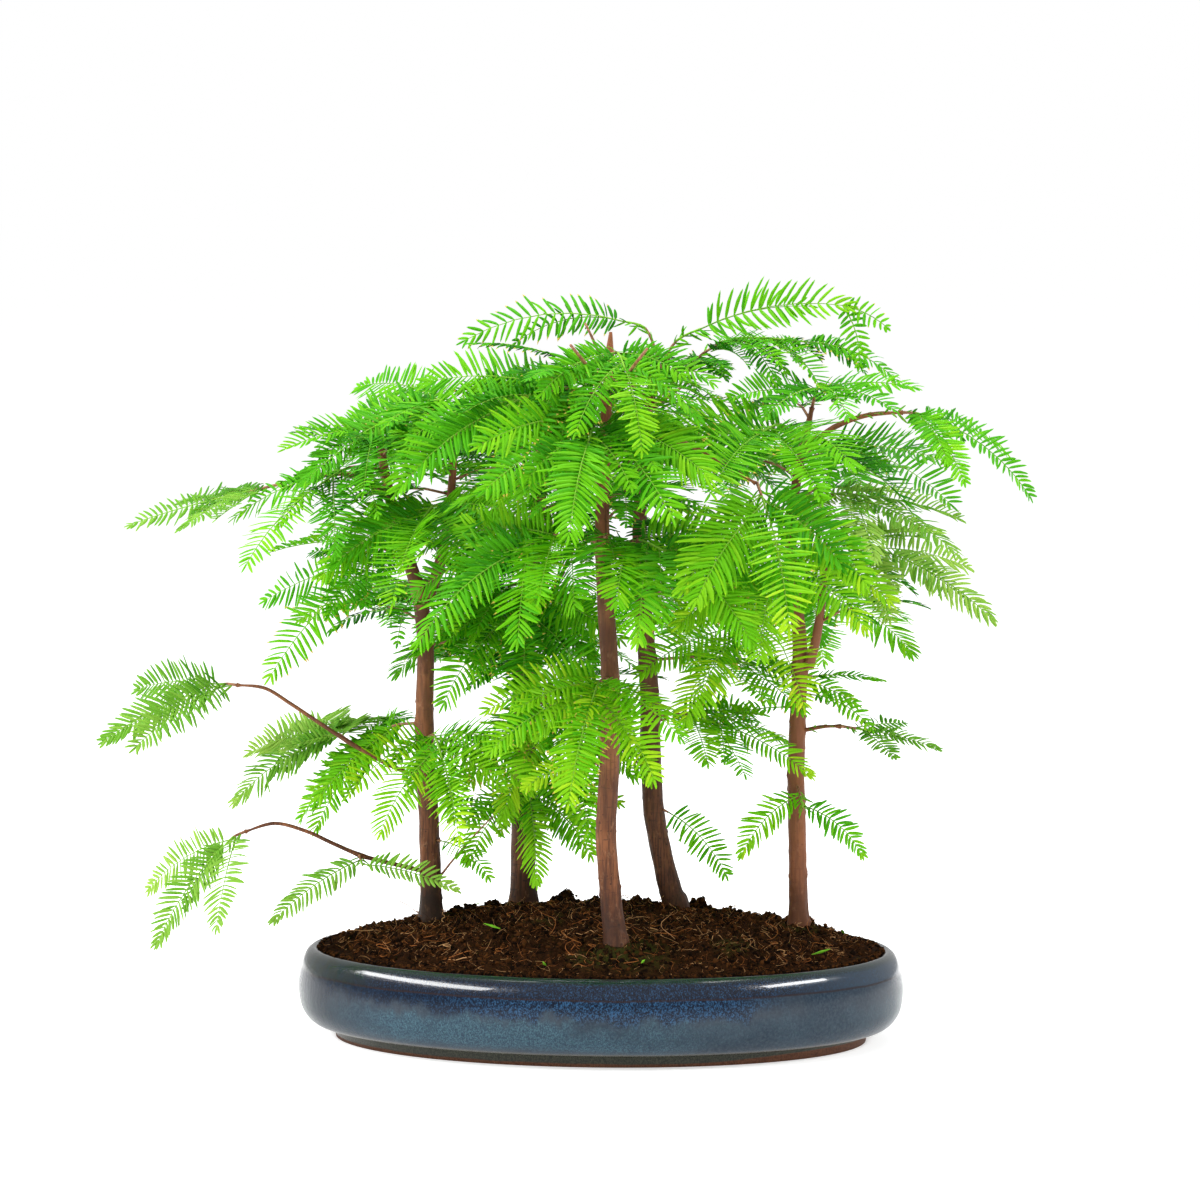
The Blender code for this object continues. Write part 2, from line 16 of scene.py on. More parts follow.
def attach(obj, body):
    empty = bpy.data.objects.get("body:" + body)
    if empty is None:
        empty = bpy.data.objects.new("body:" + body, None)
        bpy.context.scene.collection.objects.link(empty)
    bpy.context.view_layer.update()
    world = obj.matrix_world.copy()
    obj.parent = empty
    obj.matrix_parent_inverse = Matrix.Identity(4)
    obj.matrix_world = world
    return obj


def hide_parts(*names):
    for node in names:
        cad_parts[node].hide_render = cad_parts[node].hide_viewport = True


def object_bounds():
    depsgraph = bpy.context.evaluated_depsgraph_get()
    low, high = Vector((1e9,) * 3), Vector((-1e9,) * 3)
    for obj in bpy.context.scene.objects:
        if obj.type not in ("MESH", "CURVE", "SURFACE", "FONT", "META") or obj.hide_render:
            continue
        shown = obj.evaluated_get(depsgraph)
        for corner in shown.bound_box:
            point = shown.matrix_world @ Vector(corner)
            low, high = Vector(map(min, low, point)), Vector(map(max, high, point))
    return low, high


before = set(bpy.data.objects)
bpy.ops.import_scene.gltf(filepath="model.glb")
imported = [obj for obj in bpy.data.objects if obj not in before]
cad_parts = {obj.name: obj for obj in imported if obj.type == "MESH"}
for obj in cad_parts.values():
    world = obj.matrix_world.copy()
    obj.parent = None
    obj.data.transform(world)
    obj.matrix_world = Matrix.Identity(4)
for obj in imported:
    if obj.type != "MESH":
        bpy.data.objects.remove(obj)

CAD_BOX = [list(corner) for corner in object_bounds()]
BODY = "root"
MM = 0.001
CLEAR = 0.3

# Pot: half sizes of the belly, then inset from the belly and height down the section.
POT_HALF_LENGTH = 180
POT_HALF_WIDTH = 126
FLOOR_TOP = 12
POT_INSIDE = ((28, 12), (16.5, 17), (13, 28), (12.4, 52.4))
POT_OUTSIDE = (
    (10.6, 53.2), (8, 53.2), (4.4, 50.4), (1.4, 43.6), (0, 32), (1, 20.6), (4.4, 13.4),
    (10, 8.8), (20.4, 6.4), (21.2, 5.6), (22, 0),
)

# Soil: a dome that starts just under the rim and rises to the middle.
SOIL_EDGE = 52.1
SOIL_RISE = 24
SOIL_POWER = 0.85
MOUND_SPREAD = 22
MOUND_DEPTH = 14
# Finer steps of the pot and the soil than the solids have.
POT_SIDES = 192
SOIL_SIDES = 360
SOIL_STEPS = 96
SINK = 2.5
# Trees: a foot, then the bends of the stem up to its tip, and the radii at both ends.
ROOT_FLARE = 1.5
FLARE_HEIGHT = 7
TRUNK_TAPER = 1.9
TRUNK_RINGS = (0, 2, 6, 12, 24)
TRUNK_STEP = 36
LIMB_STEP = 18
Trunk = namedtuple("Trunk", "name foot bends base tip")
TRUNKS = (
    Trunk("trunk_left", (-101, 0), (
        (-102, 0, 120), (-105, 1, 178), (-105, 0, 250), (-118, -3, 292), (-124, -4, 322),
        (-131, -5, 352), (-133, -5, 370),
    ), 6.2, 1.7),
    Trunk("trunk_rear", (-52, 50), (
        (-52, 50, 110), (-51, 51, 175), (-50, 50, 243), (-42, 49, 316), (-34, 50, 392),
    ), 7.5, 2.0),
    Trunk("trunk_front", (18, -79), (
        (15, -78, 93), (12, -78, 134), (15, -77, 205), (10, -76, 290), (10, -74, 340), (14, -72, 421),
    ), 6.1, 2.0),
    Trunk("trunk_middle", (43, 24), (
        (36, 24, 99), (29, 24, 139), (27, 25, 200), (22, 24, 276), (22, 23, 330), (31, 22, 404),
    ), 6.4, 1.9),
    Trunk("trunk_right", (117, 17), (
        (116, 17, 111), (115, 18, 165), (117, 17, 236), (111, 16, 290), (115, 15, 330), (124, 14, 374),
    ), 5.4, 1.9),
)

# Limbs: the carrier, where they leave it (a height on a trunk, or a share of a limb's
# length), their bends, and the radii at both ends.
Limb = namedtuple("Limb", "name on leaves bends base tip")
LIMBS = (
    Limb("left_leader", "trunk_left", 252, ((-97, -4, 272), (-88, -9, 316), (-84, -11, 368)), 3.6, 1.6),
    Limb("right_leader", "trunk_right", 206, ((124, 12, 224), (129, 8, 248), (134, 6, 292)), 3.2, 1.5),
    Limb("left_upper_bough", "trunk_left", 320, (
        (-140, -10, 333), (-164, -14, 334), (-186, -16, 329),
    ), 1.9, 1.1),
    Limb("left_thin_bough", "trunk_left", 151, (
        (-128, -12, 164), (-153, -20, 180), (-182, -25, 200), (-202, -26, 211), (-213, -25, 210),
    ), 1.4, 1.0),
    Limb("left_low_bough", "trunk_left", 96, (
        (-120, -14, 103), (-142, -22, 110), (-176, -30, 126), (-197, -33, 129), (-207, -34, 124),
    ), 1.4, 1.0),
    Limb("front_arching_bough", "trunk_front", 346, (
        (24, -80, 358), (38, -84, 362), (64, -88, 356), (82, -90, 346), (99, -92, 336),
    ), 2.0, 1.1),
    Limb("right_upper_bough", "trunk_right", 348, ((136, 6, 362), (156, 2, 370), (178, 0, 372)), 1.9, 1.1),
    Limb("right_low_bough", "trunk_right", 181, ((128, 13, 185), (142, 9, 186)), 1.3, 1.0),
)

# Masses of foliage: the carrier, where the stem leaves it, the stem's tip, the number
# and length of the sprays, how far the mass turns its face outward from lying flat,
# how far its stem arches, how far its sprays sag, and their width as a share of the length.
Mass = namedtuple(
    "Mass", "name on leaves tip sprays length face arch sag width", defaults=(4, 84, 38, 0.12, 34, 0.5),
)
MASSES = (
    Mass("left_top", "trunk_left", 360, (-130, -36, 358), 4, 60, 40, 0.12, 24),
    Mass("left_crown", "left_leader", 1.0, (-104, -20, 375), 5, 82, 46, 0.3, 32),
    Mass("left_far", "left_upper_bough", 1.0, (-228, -18, 319), 5, 54, 22, 0, 10),
    Mass("left_upper", "trunk_left", 336, (-160, -44, 330), 4, 76, 34, 0.12, 26),
    Mass("left_shoulder", "trunk_left", 284, (-138, -14, 279), 3, 86, 52, 0.16, 22, 0.44),
    Mass("left_front", "left_leader", 0.45, (-96, -66, 312), 5, 80, 48, 0.12, 34, 0.56),
    Mass("left_inner", "trunk_left", 186, (-138, 12, 174), 4, 72, 46, 0.1, 28, 0.52),
    Mass("left_lower_front", "trunk_left", 176, (-86, -58, 172), 4, 72, 50),
    Mass("left_thin_tip", "left_thin_bough", 1.0, (-226, -26, 209), 3, 76, 62, 0.1, 22, 0.46),
    Mass("left_thin_middle", "left_thin_bough", 0.36, (-162, -6, 180), 4, 72, 58, 0.1, 28, 0.52),
    Mass("left_low_tip", "left_low_bough", 1.0, (-218, -38, 117), 3, 72, 64, 0.1, 28, 0.44),
    Mass("left_low_middle", "left_low_bough", 0.36, (-137, -34, 105), 2, 66, 40, 0, 24, 0.4),
    Mass("left_back", "trunk_left", 246, (-128, 82, 262), 4, 88, 36),
    Mass("rear_top", "trunk_rear", 376, (-50, 78, 376), 4, 84, 30),
    Mass("rear_left", "trunk_rear", 338, (-94, 84, 352), 4, 88, 34),
    Mass("rear_back_high", "trunk_rear", 318, (-34, 122, 326), 4, 92, 40),
    Mass("rear_back_low", "trunk_rear", 236, (-72, 116, 238), 4, 92, 40),
    Mass("rear_front", "trunk_rear", 262, (-44, -2, 246), 5, 80, 50),
    Mass("rear_lower_front", "trunk_rear", 196, (-26, 6, 182), 5, 80, 50),
    Mass("rear_low", "trunk_rear", 140, (-42, 4, 140), 4, 66, 45, 0.12, 44),
    Mass("front_top", "trunk_front", 408, (26, -110, 402), 5, 64, 34, 0.12, 38),
    Mass("front_left_high", "trunk_front", 384, (-42, -104, 380), 5, 84, 60, 0.12, 34, 0.56),
    Mass("front_forward", "trunk_front", 366, (8, -134, 362), 5, 84, 50, 0.12, 34, 0.56),
    Mass("front_left", "trunk_front", 300, (-38, -114, 296), 5, 84, 52, 0.12, 34, 0.56),
    Mass("front_right", "trunk_front", 296, (52, -108, 296), 5, 82, 52, 0.12, 34, 0.56),
    Mass("front_low", "trunk_front", 222, (8, -120, 212), 5, 72, 45),
    Mass("front_arch_tip", "front_arching_bough", 1.0, (106, -106, 323), 5, 80, 60, 0, 34, 0.56),
    Mass("middle_top_left", "trunk_middle", 1.0, (12, 18, 424), 1, 95, 60, 0.36, 50, 0.36),
    Mass("middle_top_right", "trunk_middle", 390, (58, 18, 420), 1, 92, 60, 0.17, 32, 0.46),
    Mass("middle_right_high", "trunk_middle", 374, (120, 28, 412), 5, 60, 30, 0.2, 48),
    Mass("middle_back", "trunk_middle", 330, (44, 106, 342), 4, 92, 40),
    Mass("middle_back_low", "trunk_middle", 250, (32, 102, 250), 4, 92, 40),
    Mass("middle_right", "trunk_middle", 222, (90, 26, 220), 5, 68, 24, 0.05, 20),
    Mass("middle_low", "trunk_middle", 190, (72, 10, 186), 5, 62, 24, 0.06, 26),
    Mass("right_top", "trunk_right", 1.0, (132, -10, 387), 5, 60, 38, 0.2, 32),
    Mass("right_upper_tip", "right_upper_bough", 1.0, (192, -2, 370), 3, 78, 24, 0.06, 38, 0.36),
    Mass("right_side", "trunk_right", 316, (160, -14, 320), 4, 74, 34, 0.1, 26, 0.44),
    Mass("right_lower_side", "right_leader", 1.0, (170, -2, 290), 4, 74, 32, 0.1, 24, 0.44),
    Mass("right_front_high", "trunk_right", 350, (98, -58, 362), 5, 84, 46, 0.12, 34, 0.56),
    Mass("right_front", "trunk_right", 282, (108, -84, 280), 5, 78, 46, 0.12, 34, 0.56),
    Mass("right_front_low", "trunk_right", 250, (84, -56, 244), 4, 76, 46),
    Mass("right_back", "trunk_right", 336, (132, 102, 346), 4, 92, 40),
    Mass("right_back_low", "trunk_right", 256, (118, 102, 254), 4, 92, 40),
    Mass("right_low_tip", "right_low_bough", 1.0, (160, 6, 184), 3, 42, 30, 0, 8),
    Mass("right_low", "trunk_right", 152, (121, -8, 140), 2, 56, 45, 0, 50),
)
STEM_RADIUS = 1.5
STEM_TIP_RADIUS = 1.1
STEM_STEPS = 2
BARE_STALK = 0.1
LAYER_TURN = 0.4
STEEPEST = 0.26
FORK = 60

RING_GAP = 1.4
CRUMBS = 9000
RIM_CRUMBS = 2600
FIBRES = 5200
ROOTS = 170

# Masses whose needles stand further apart, lumps of peat (place and size), and fallen needles.
LOOSE = {"middle_top_left": 4.8, "middle_top_right": 5.2, "left_shoulder": 3.7}
LEAFY_BOUGHS = {"left_upper_bough": (0.35, 11), "right_upper_bough": (0.5, 11), "right_low_bough": (0.1, 7)}
SIDE_SPRAYS = {
    "middle_top_left": 1, "middle_top_right": 1, "left_shoulder": 2, "left_far": 2, "left_thin_tip": 1, "left_low_tip": 1,
    "left_low_middle": 0, "right_low": 0, "right_low_tip": 1, "right_upper_tip": 2,
    "right_side": 3, "right_lower_side": 3, "right_front": 3, "right_front_low": 1, "middle_right": 1, "middle_low": 2,
    "right_front_high": 4, "right_top": 3, "front_arch_tip": 3, "right_back": 4, "right_back_low": 4,
    "middle_back": 2, "middle_back_low": 3, "left_upper": 4, "left_top": 4, "left_back": 5,
}
LUMPS = ((-27, 52, 6.5), (20, 56, 5.0), (-68, 34, 4.4), (56, 40, 5.0), (-8, 60, 4.0), (-86, 12, 4.2), (98, 34, 4.0))

# Short shoots: the limb, the lowest and highest place, how many, and the length of their sprays.
SHOOTS = (
    ("trunk_left", 225, 368, 12, 56), ("left_leader", 285, 366, 9, 54), ("trunk_rear", 190, 388, 22, 62),
    ("trunk_front", 290, 398, 18, 60), ("trunk_middle", 345, 402, 7, 56), ("trunk_middle", 256, 300, 3, 56),
    ("trunk_right", 270, 372, 7, 58), ("right_leader", 236, 290, 3, 50),
)
# Sprays that fork from the tip of a mass's first spray: how far each falls, its length, sag and width.
TIP_SPRAYS = {"middle_top_right": ((4, 30, 30, 0.56), (46, 38, 44, 0.5))}
# Single fronds: the limb, the height, the heading, then length, face, sag, width and tone.
FRONDS = (
    ("trunk_middle", 134, (0.6, -0.3, -0.25), 54, 50, 40, 0.5, 3.4),
    ("trunk_middle", 186, (0.75, 0.3, 0.12), 56, 20, 22, 0.44, 3.0),
    ("trunk_middle", 168, (-0.8, -0.3, 0.1), 38, 30, 50, 0.5, 2.4),
    ("trunk_front", 216, (-0.15, -1, 0.25), 50, 30, 62, 0.66, 5.0),
    ("trunk_front", 172, (-0.8, -0.5, 0.1), 46, 40, 40, 0.56, 5.4),
    ("trunk_rear", 150, (0.7, -0.6, 0.2), 60, 40, 50, 0.5, 4.0),
    ("trunk_left", 116, (0.7, -0.5, 0), 44, 40, 50, 0.5, 3.4),
    ("trunk_left", 134, (0.6, 0.3, 0.1), 52, 40, 44, 0.5, 3.2),
    ("trunk_right", 262, (-0.85, -0.5, 0.1), 52, 40, 30, 0.5, 6.0),
    ("trunk_right", 204, (0.85, -0.4, 0), 46, 30, 48, 0.42, 3.6),
    ("trunk_right", 214, (0.9, 0.1, 0.1), 42, 20, 20, 0.4, 3.0),
    ("trunk_right", 196, (-0.9, -0.1, 0), 50, 24, 26, 0.42, 4.0),
)
# Twigs without leaves: the limb, the height, the heading, the length and the radius.
BARE_TWIGS = (
    ("trunk_left", 92, (29, -8, 39), 50, 0.8), ("trunk_middle", 157, (-10.8, -5, 11.4), 18, 1.0),
    ("trunk_front", 184, (-7, -3, 14), 18, 0.9), ("trunk_front", 268, (12, -3, 34), 38, 0.8),
    ("trunk_rear", 236, (16, -8, 34), 42, 0.9), ("trunk_front", 398, (-8, -5, 26), 30, 1.3),
    ("trunk_front", 386, (-12, -58, 30), 66, 1.5), ("trunk_front", 380, (26, -58, 34), 72, 1.6),
    ("trunk_middle", 384, (10, -8, 22), 24, 1.4), ("trunk_middle", 372, (20, -8, 16), 28, 1.3),
)
FALLEN = ((-53, -52), (-20, -102), (34, -96), (129, -49), (144, 16), (-90, 62), (40, 84))

# Moss on the soil: places and how far each patch spreads.
MOSS = (
    ((30, -84, 66), 22), ((6, -92, 62), 14), ((-52, 38, 70), 18), ((-96, 6, 70), 14), ((52, 30, 72), 20),
    ((-30, -30, 74), 12), ((84, -60, 62), 12), ((120, 8, 66), 12),
)

# Needles: spacing of the pairs, width, and how far a needle bends and droops.
NEEDLE_GAP = (2.6, 3.4)
NEEDLE_WIDTH = 2.1
NEEDLE_HOOK = (0.02, 0.2)
NEEDLE_DROOP = (-0.04, 0.26)
RIB_RADIUS = 0.5
NEEDLES_PER_PIECE = 8600

# The greens of the foliage, from deep shade to young tips, then the paler ones of thin,
# sunlit sprays at the rim of the crown. They are dealt out by spray.
GREENS = (
    ("deep_green", (0.014, 0.15, 0.001)),
    ("shade_green", (0.037, 0.275, 0.002)),
    ("leaf_green", (0.08, 0.41, 0.003)),
    ("fresh_green", (0.148, 0.51, 0.004)),
    ("bright_green", (0.23, 0.575, 0.008)),
    ("lime_green", (0.37, 0.65, 0.014)),
    ("young_green", (0.54, 0.7, 0.035)),
)
PALE_GREENS = (
    ("pine_green", (0.09, 0.31, 0.016)),
    ("soft_green", (0.16, 0.41, 0.03)),
    ("pale_green", (0.235, 0.48, 0.055)),
    ("misty_green", (0.32, 0.55, 0.085)),
)

# Masses that are lighter or deeper than the rest, on the scale of the greens: partly their own green, partly painted
# light that makes the low and outer masses in the crown's shade lighter.
TONES = {
    "front_low": 4.6, "rear_lower_front": 4.0, "right_front_low": 4.7, "right_front": 4.5, "left_crown": 3.3,
    "rear_low": 4.0, "middle_low": 4.2, "middle_right": 3.7, "left_front": 3.7, "front_left": 3.5,
    "rear_front": 2.9, "front_left_high": 2.9, "front_forward": 3.2, "middle_back": 2.5, "right_top": 2.6,
    "right_low": 3.6, "front_right": 3.6, "front_top": 3.4, "left_lower_front": 4.2, "front_arch_tip": 3.4,
    "middle_top_left": 3.3, "middle_top_right": 3.2, "middle_right_high": 2.7, "right_upper_tip": 2.9,
    "left_top": 3.0, "left_upper": 3.2, "left_shoulder": 2.7, "left_inner": 3.9,
}
USUAL_TONE = 3.1
PALE_TONES = {
    "left_thin_tip": 1.7, "left_thin_middle": 2.1, "left_low_tip": 1.6, "left_low_middle": 1.4, "left_far": 1.3,
    "right_lower_side": 2.9, "right_side": 2.4, "right_low_tip": 1.1,
}


def mm(values):
    """A vector in metres from millimetres."""
    return Vector(values) * MM


def soil_height(x, y):
    """Height of the soil's dome at a place, in millimetres."""
    across = POT_HALF_LENGTH - POT_INSIDE[-1][0]
    deep = POT_HALF_WIDTH - POT_INSIDE[-1][0]
    share = min(1, (x / across) ** 2 + (y / deep) ** 2)
    return SOIL_EDGE + SOIL_RISE * (1 - share) ** SOIL_POWER


def foot_height(trunk):
    """Height of a trunk's flat foot: the highest soil under its edge."""
    reach = trunk.base + ROOT_FLARE
    turns = [math.tau * step / 12 for step in range(12)]
    return 0.3 + max(
        soil_height(trunk.foot[0] + reach * math.cos(turn), trunk.foot[1] + reach * math.sin(turn))
        for turn in turns
    )


def measured(line):
    """How far along a line each of its points lies."""
    lengths = [0.0]
    for one, two in zip(line, line[1:]):
        lengths.append(lengths[-1] + (two - one).length)
    return lengths


def found(lengths, distance):
    """Which length of a line a distance falls in, and how far along that length."""
    index = 0
    while index < len(lengths) - 2 and lengths[index + 1] < distance:
        index += 1
    share = (distance - lengths[index]) / (lengths[index + 1] - lengths[index])
    return index, min(max(share, 0), 1)


def curved(knots):
    """Close points on a smooth curve through some knots."""
    fine = []
    for index in range(len(knots) - 1):
        before = knots[max(index - 1, 0)]
        start, end = knots[index], knots[index + 1]
        after = knots[min(index + 2, len(knots) - 1)]
        for step in range(12):
            t = step / 12
            fine.append(0.5 * (
                2 * start + (end - before) * t
                + (2 * before - 5 * start + 4 * end - after) * t * t
                + (3 * start - before - 3 * end + after) * t * t * t
            ))
    fine.append(knots[-1].copy())
    return fine


class Way:
    """The line of a limb: rings joined by straight lengths, each ring with its radius."""

    def __init__(self, knots, radius_at, spacing, early=(0,)):
        fine = curved(knots)
        lengths = measured(fine)
        stations = [distance * MM for distance in early]
        count = max(2, round((lengths[-1] - stations[-1]) / spacing))
        step = (lengths[-1] - stations[-1]) / count
        stations += [stations[-1] + step * (index + 1) for index in range(count)]
        self.rings = []
        for distance in stations:
            index, share = found(lengths, distance)
            self.rings.append(fine[index].lerp(fine[index + 1], share))
        if len(early) > 1:
            self.rings[1].xy = self.rings[0].xy
        self.radii = [radius_at(distance / lengths[-1], distance) for distance in stations]
        self.lengths = measured(self.rings)
        self.length = self.lengths[-1]

    def point(self, distance):
        """Point and direction at a distance along the line."""
        index, share = found(self.lengths, distance)
        start, end = self.rings[index:index + 2]
        return start.lerp(end, share), (end - start).normalized()

    def at(self, leaves):
        """Point, direction and radius at a height in millimetres or a share of the length."""
        if leaves <= 1:
            distance = leaves * self.length
        else:
            distance = 0
            while distance < self.length and self.point(distance)[0].z < leaves * MM:
                distance += 0.5 * MM
        index, share = found(self.lengths, distance)
        radius = self.radii[index] + (self.radii[index + 1] - self.radii[index]) * share
        return *self.point(distance), radius


def trunk_way(trunk):
    """The line of a trunk, upright for a moment at its flat foot."""
    foot = mm((*trunk.foot, foot_height(trunk)))
    knots = [foot] + [mm(bend) for bend in trunk.bends]

    def radius(share, distance):
        taper = trunk.base + (trunk.tip - trunk.base) * share ** TRUNK_TAPER
        return (taper + ROOT_FLARE * math.exp(-distance / (FLARE_HEIGHT * MM))) * MM

    return Way(knots, radius, TRUNK_STEP * MM, TRUNK_RINGS)


def leave(carrier, leaves, toward, radius):
    """Where a limb of some radius starts, just clear of its carrier."""
    place, direction, girth = carrier.at(leaves)
    away = (toward - place).normalized()
    if leaves == 1:
        return place + direction * (CLEAR * MM + max(radius, girth) * away.cross(direction).length)
    lean = away.dot(direction)
    square = math.sqrt(max(1 - lean * lean, 0.05))
    return place + away * ((girth + CLEAR * MM + radius * abs(lean)) / square)


def limb_way(limb, carrier):
    """The line of a bough or leader."""
    knots = [mm(bend) for bend in limb.bends]
    knots.insert(0, leave(carrier, limb.leaves, knots[0], limb.base * MM))

    def radius(share, distance):
        return (limb.base + (limb.tip - limb.base) * share) * MM

    return Way(knots, radius, LIMB_STEP * MM)


def stem_way(mass, carrier):
    """The line of a mass's stem: it arches from its carrier to its tip."""
    tip = mm(mass.tip)
    rise = Vector((0, 0, mass.arch * (tip - carrier.at(mass.leaves)[0]).length))
    start = leave(carrier, mass.leaves, tip + rise * 2, STEM_RADIUS * MM)
    middle = start.lerp(tip, 0.5) + rise
    knots = [start, middle, tip]

    def radius(share, distance):
        return (STEM_RADIUS + (STEM_TIP_RADIUS - STEM_RADIUS) * share) * MM

    return Way(knots, radius, (tip - start).length / STEM_STEPS)


Spray = namedtuple("Spray", "base heading normal length sag width")


def square_to(vector, axis):
    """The part of a vector that is square to an axis, as a unit vector."""
    part = vector - axis * vector.dot(axis)
    return part.normalized() if part.length > 1e-4 else axis.orthogonal().normalized()


def outward(mass):
    """The level direction that a mass turns its face to: the front or the back."""
    x, y, _ = mass.tip
    return Vector((0.25 * math.copysign(1, x), -1 if y < 40 else 1, 0)).normalized()


def tilted(mass, face, axis):
    """A normal square to an axis, turned from straight up toward the mass's outer side."""
    return square_to(Vector((0, 0, 1)) * math.cos(face) + outward(mass) * math.sin(face), axis)


def sprays(mass, way, count, seed):
    """The sprays of a stem: one straight on from its tip, then left and right by turns along it.

    A stem with two sprays ends in a fork of them.
    """
    chance = random.Random(seed)
    side_first = chance.choice((-1, 1))
    order = [count - 1, *range(count - 1)]
    for index in order:
        last = index == count - 1 and count != 2
        if count == 2:
            share = (0.4, 1)[index]
        else:
            share = 1 if last else 0.22 + 0.66 * (index + 0.5) / max(count - 1, 1)
        base, ahead = way.point(share * way.length - (1.5 * MM if share == 1 else 0))
        layer = tilted(mass, math.radians(mass.face * LAYER_TURN), ahead)
        side = ahead.cross(layer) * side_first * (-1 if index % 2 else 1)
        spread = 0
        if not last:
            spread = math.radians((FORK if count == 2 else 66 - 26 * share) + chance.uniform(-7, 7))
        heading = ahead * math.cos(spread) + side * math.sin(spread)
        if not last:
            heading.z = min(heading.z, STEEPEST)
            heading.normalize()
        roll = Matrix.Rotation(math.radians(chance.uniform(-16, 16)), 3, heading)
        normal = roll @ tilted(mass, math.radians(mass.face), heading)
        length = mass.length * MM * (1 if last else 0.88 + 0.12 * math.sin(math.pi * share))
        length *= chance.uniform(0.94, 1.04)
        yield Spray(base, heading, normal, length, mass.sag + chance.uniform(-5, 5), mass.width)


def along(spray, share):
    """Point, direction and normal at a share of a spray's sagging midrib."""
    down = square_to(Vector((0, 0, -1)), spray.heading)
    bend = math.radians(spray.sag)
    angle = bend * share
    place = spray.base + (
        spray.heading * math.sin(angle) + down * (1 - math.cos(angle))
    ) * (spray.length / bend)
    turn = Matrix.Rotation(angle, 3, spray.heading.cross(down))
    return place, turn @ spray.heading, turn @ spray.normal


def needle_reach(share):
    """Length of the needles along a spray, as a share of the longest."""
    early = 0.62 + 0.38 * math.sin(math.pi / 2 * min(1, share / 0.4))
    late = max(0, (share - 0.5) / 0.5)
    return early * (1 - 0.6 * late ** 1.4)


def varied(spray, chance, step):
    """A spray turned, lifted and shortened a little, more so at each step."""
    turn = Matrix.Rotation(math.radians(chance.uniform(-7, 7) * step), 3, spray.normal)
    lift = Matrix.Rotation(math.radians(chance.uniform(-5, 5) * step), 3, spray.heading.cross(spray.normal))
    heading = lift @ (turn @ spray.heading)
    roll = Matrix.Rotation(math.radians(chance.uniform(-9, 9) * step), 3, heading)
    normal = square_to(roll @ spray.normal, heading)
    return spray._replace(heading=heading, normal=normal, length=spray.length * (1 - 0.02 * step))


class Value:
    """A number from a shader socket, which adds Math nodes when it is reckoned with."""

    def __init__(self, paint, socket):
        self.paint = paint
        self.socket = socket

    def __add__(self, other):
        return self.paint.math("ADD", self, other)

    def __sub__(self, other):
        return self.paint.math("SUBTRACT", self, other)

    def __rsub__(self, other):
        return self.paint.math("SUBTRACT", other, self)

    def __mul__(self, other):
        return self.paint.math("MULTIPLY", self, other)

    __radd__ = __add__
    __rmul__ = __mul__


class Paint:
    """One material, with the nodes that make its pattern from the Object coordinates."""

    def __init__(self, name):
        self.material = bpy.data.materials.new(name)
        self.material.use_nodes = True
        self.nodes = self.material.node_tree.nodes
        self.links = self.material.node_tree.links
        self.shader = self.nodes["Principled BSDF"]
        self.place = self.node("ShaderNodeTexCoord", output="Object")

    def node(self, kind, settings=None, inputs=None, output=0):
        """Add a node with its settings, then its sockets' values or links; return one output."""
        node = self.nodes.new(kind)
        for name, value in (settings or {}).items():
            setattr(node, name, value)
        for name, value in (inputs or {}).items():
            self.feed(node.inputs[name], value)
        return Value(self, node.outputs[output])

    def feed(self, socket, value):
        if isinstance(value, Value):
            self.links.new(value.socket, socket)
        elif socket.type == "RGBA":
            socket.default_value = (*value, 1)
        else:
            socket.default_value = value

    def math(self, operation, *values):
        return self.node("ShaderNodeMath", {"operation": operation}, dict(enumerate(values)))

    def axis(self, name):
        return self.node("ShaderNodeSeparateXYZ", None, {"Vector": self.place}, output=name)

    def noise(self, scale, stretch=(1, 1, 1), detail=4, roughness=0.6, shift=0.0):
        """Noise whose cells are SCALE to the metre, drawn out by STRETCH."""
        spread = self.node(
            "ShaderNodeMapping", None, {"Vector": self.place, "Scale": stretch, "Location": (shift, shift, shift)},
        )
        return self.node("ShaderNodeTexNoise", None, {
            "Vector": spread, "Scale": scale, "Detail": detail, "Roughness": roughness,
        })

    def cells(self, scale, stretch=(1, 1, 1)):
        spread = self.node("ShaderNodeMapping", None, {"Vector": self.place, "Scale": stretch})
        return self.node("ShaderNodeTexVoronoi", None, {"Vector": spread, "Scale": scale})

    def step(self, value, low, high):
        """0 below LOW, 1 above HIGH and smooth between; the other way round where LOW is more."""
        return self.node("ShaderNodeMapRange", {"interpolation_type": "SMOOTHSTEP"}, {
            "Value": value, "From Min": low, "From Max": high,
        })

    def mix(self, share, first, second):
        """One colour laid over another by a share."""
        node = self.nodes.new("ShaderNodeMix")
        node.data_type = "RGBA"
        sockets = [socket for socket in node.inputs if socket.enabled]
        for socket, value in zip(sockets, (share, first, second)):
            self.feed(socket, value)
        return Value(self, next(socket for socket in node.outputs if socket.enabled))

    def near(self, place, radius, blur):
        """1 within a radius of a place, fading out over the blur."""
        away = self.node("ShaderNodeVectorMath", {"operation": "DISTANCE"}, {0: self.place, 1: place}, output="Value")
        return self.step(away, radius + blur, radius)

    def finish(self, bump=None, depth=0.0003, **sockets):
        """Feed the shader's sockets, named in words, and return the material."""
        for name, value in sockets.items():
            self.feed(self.shader.inputs[name.replace("_", " ").title().replace("Ior", "IOR")], value)
        if bump is not None:
            relief = self.node("ShaderNodeBump", None, {"Height": bump, "Distance": depth, "Strength": 1})
            self.feed(self.shader.inputs["Normal"], relief)
        return self.material


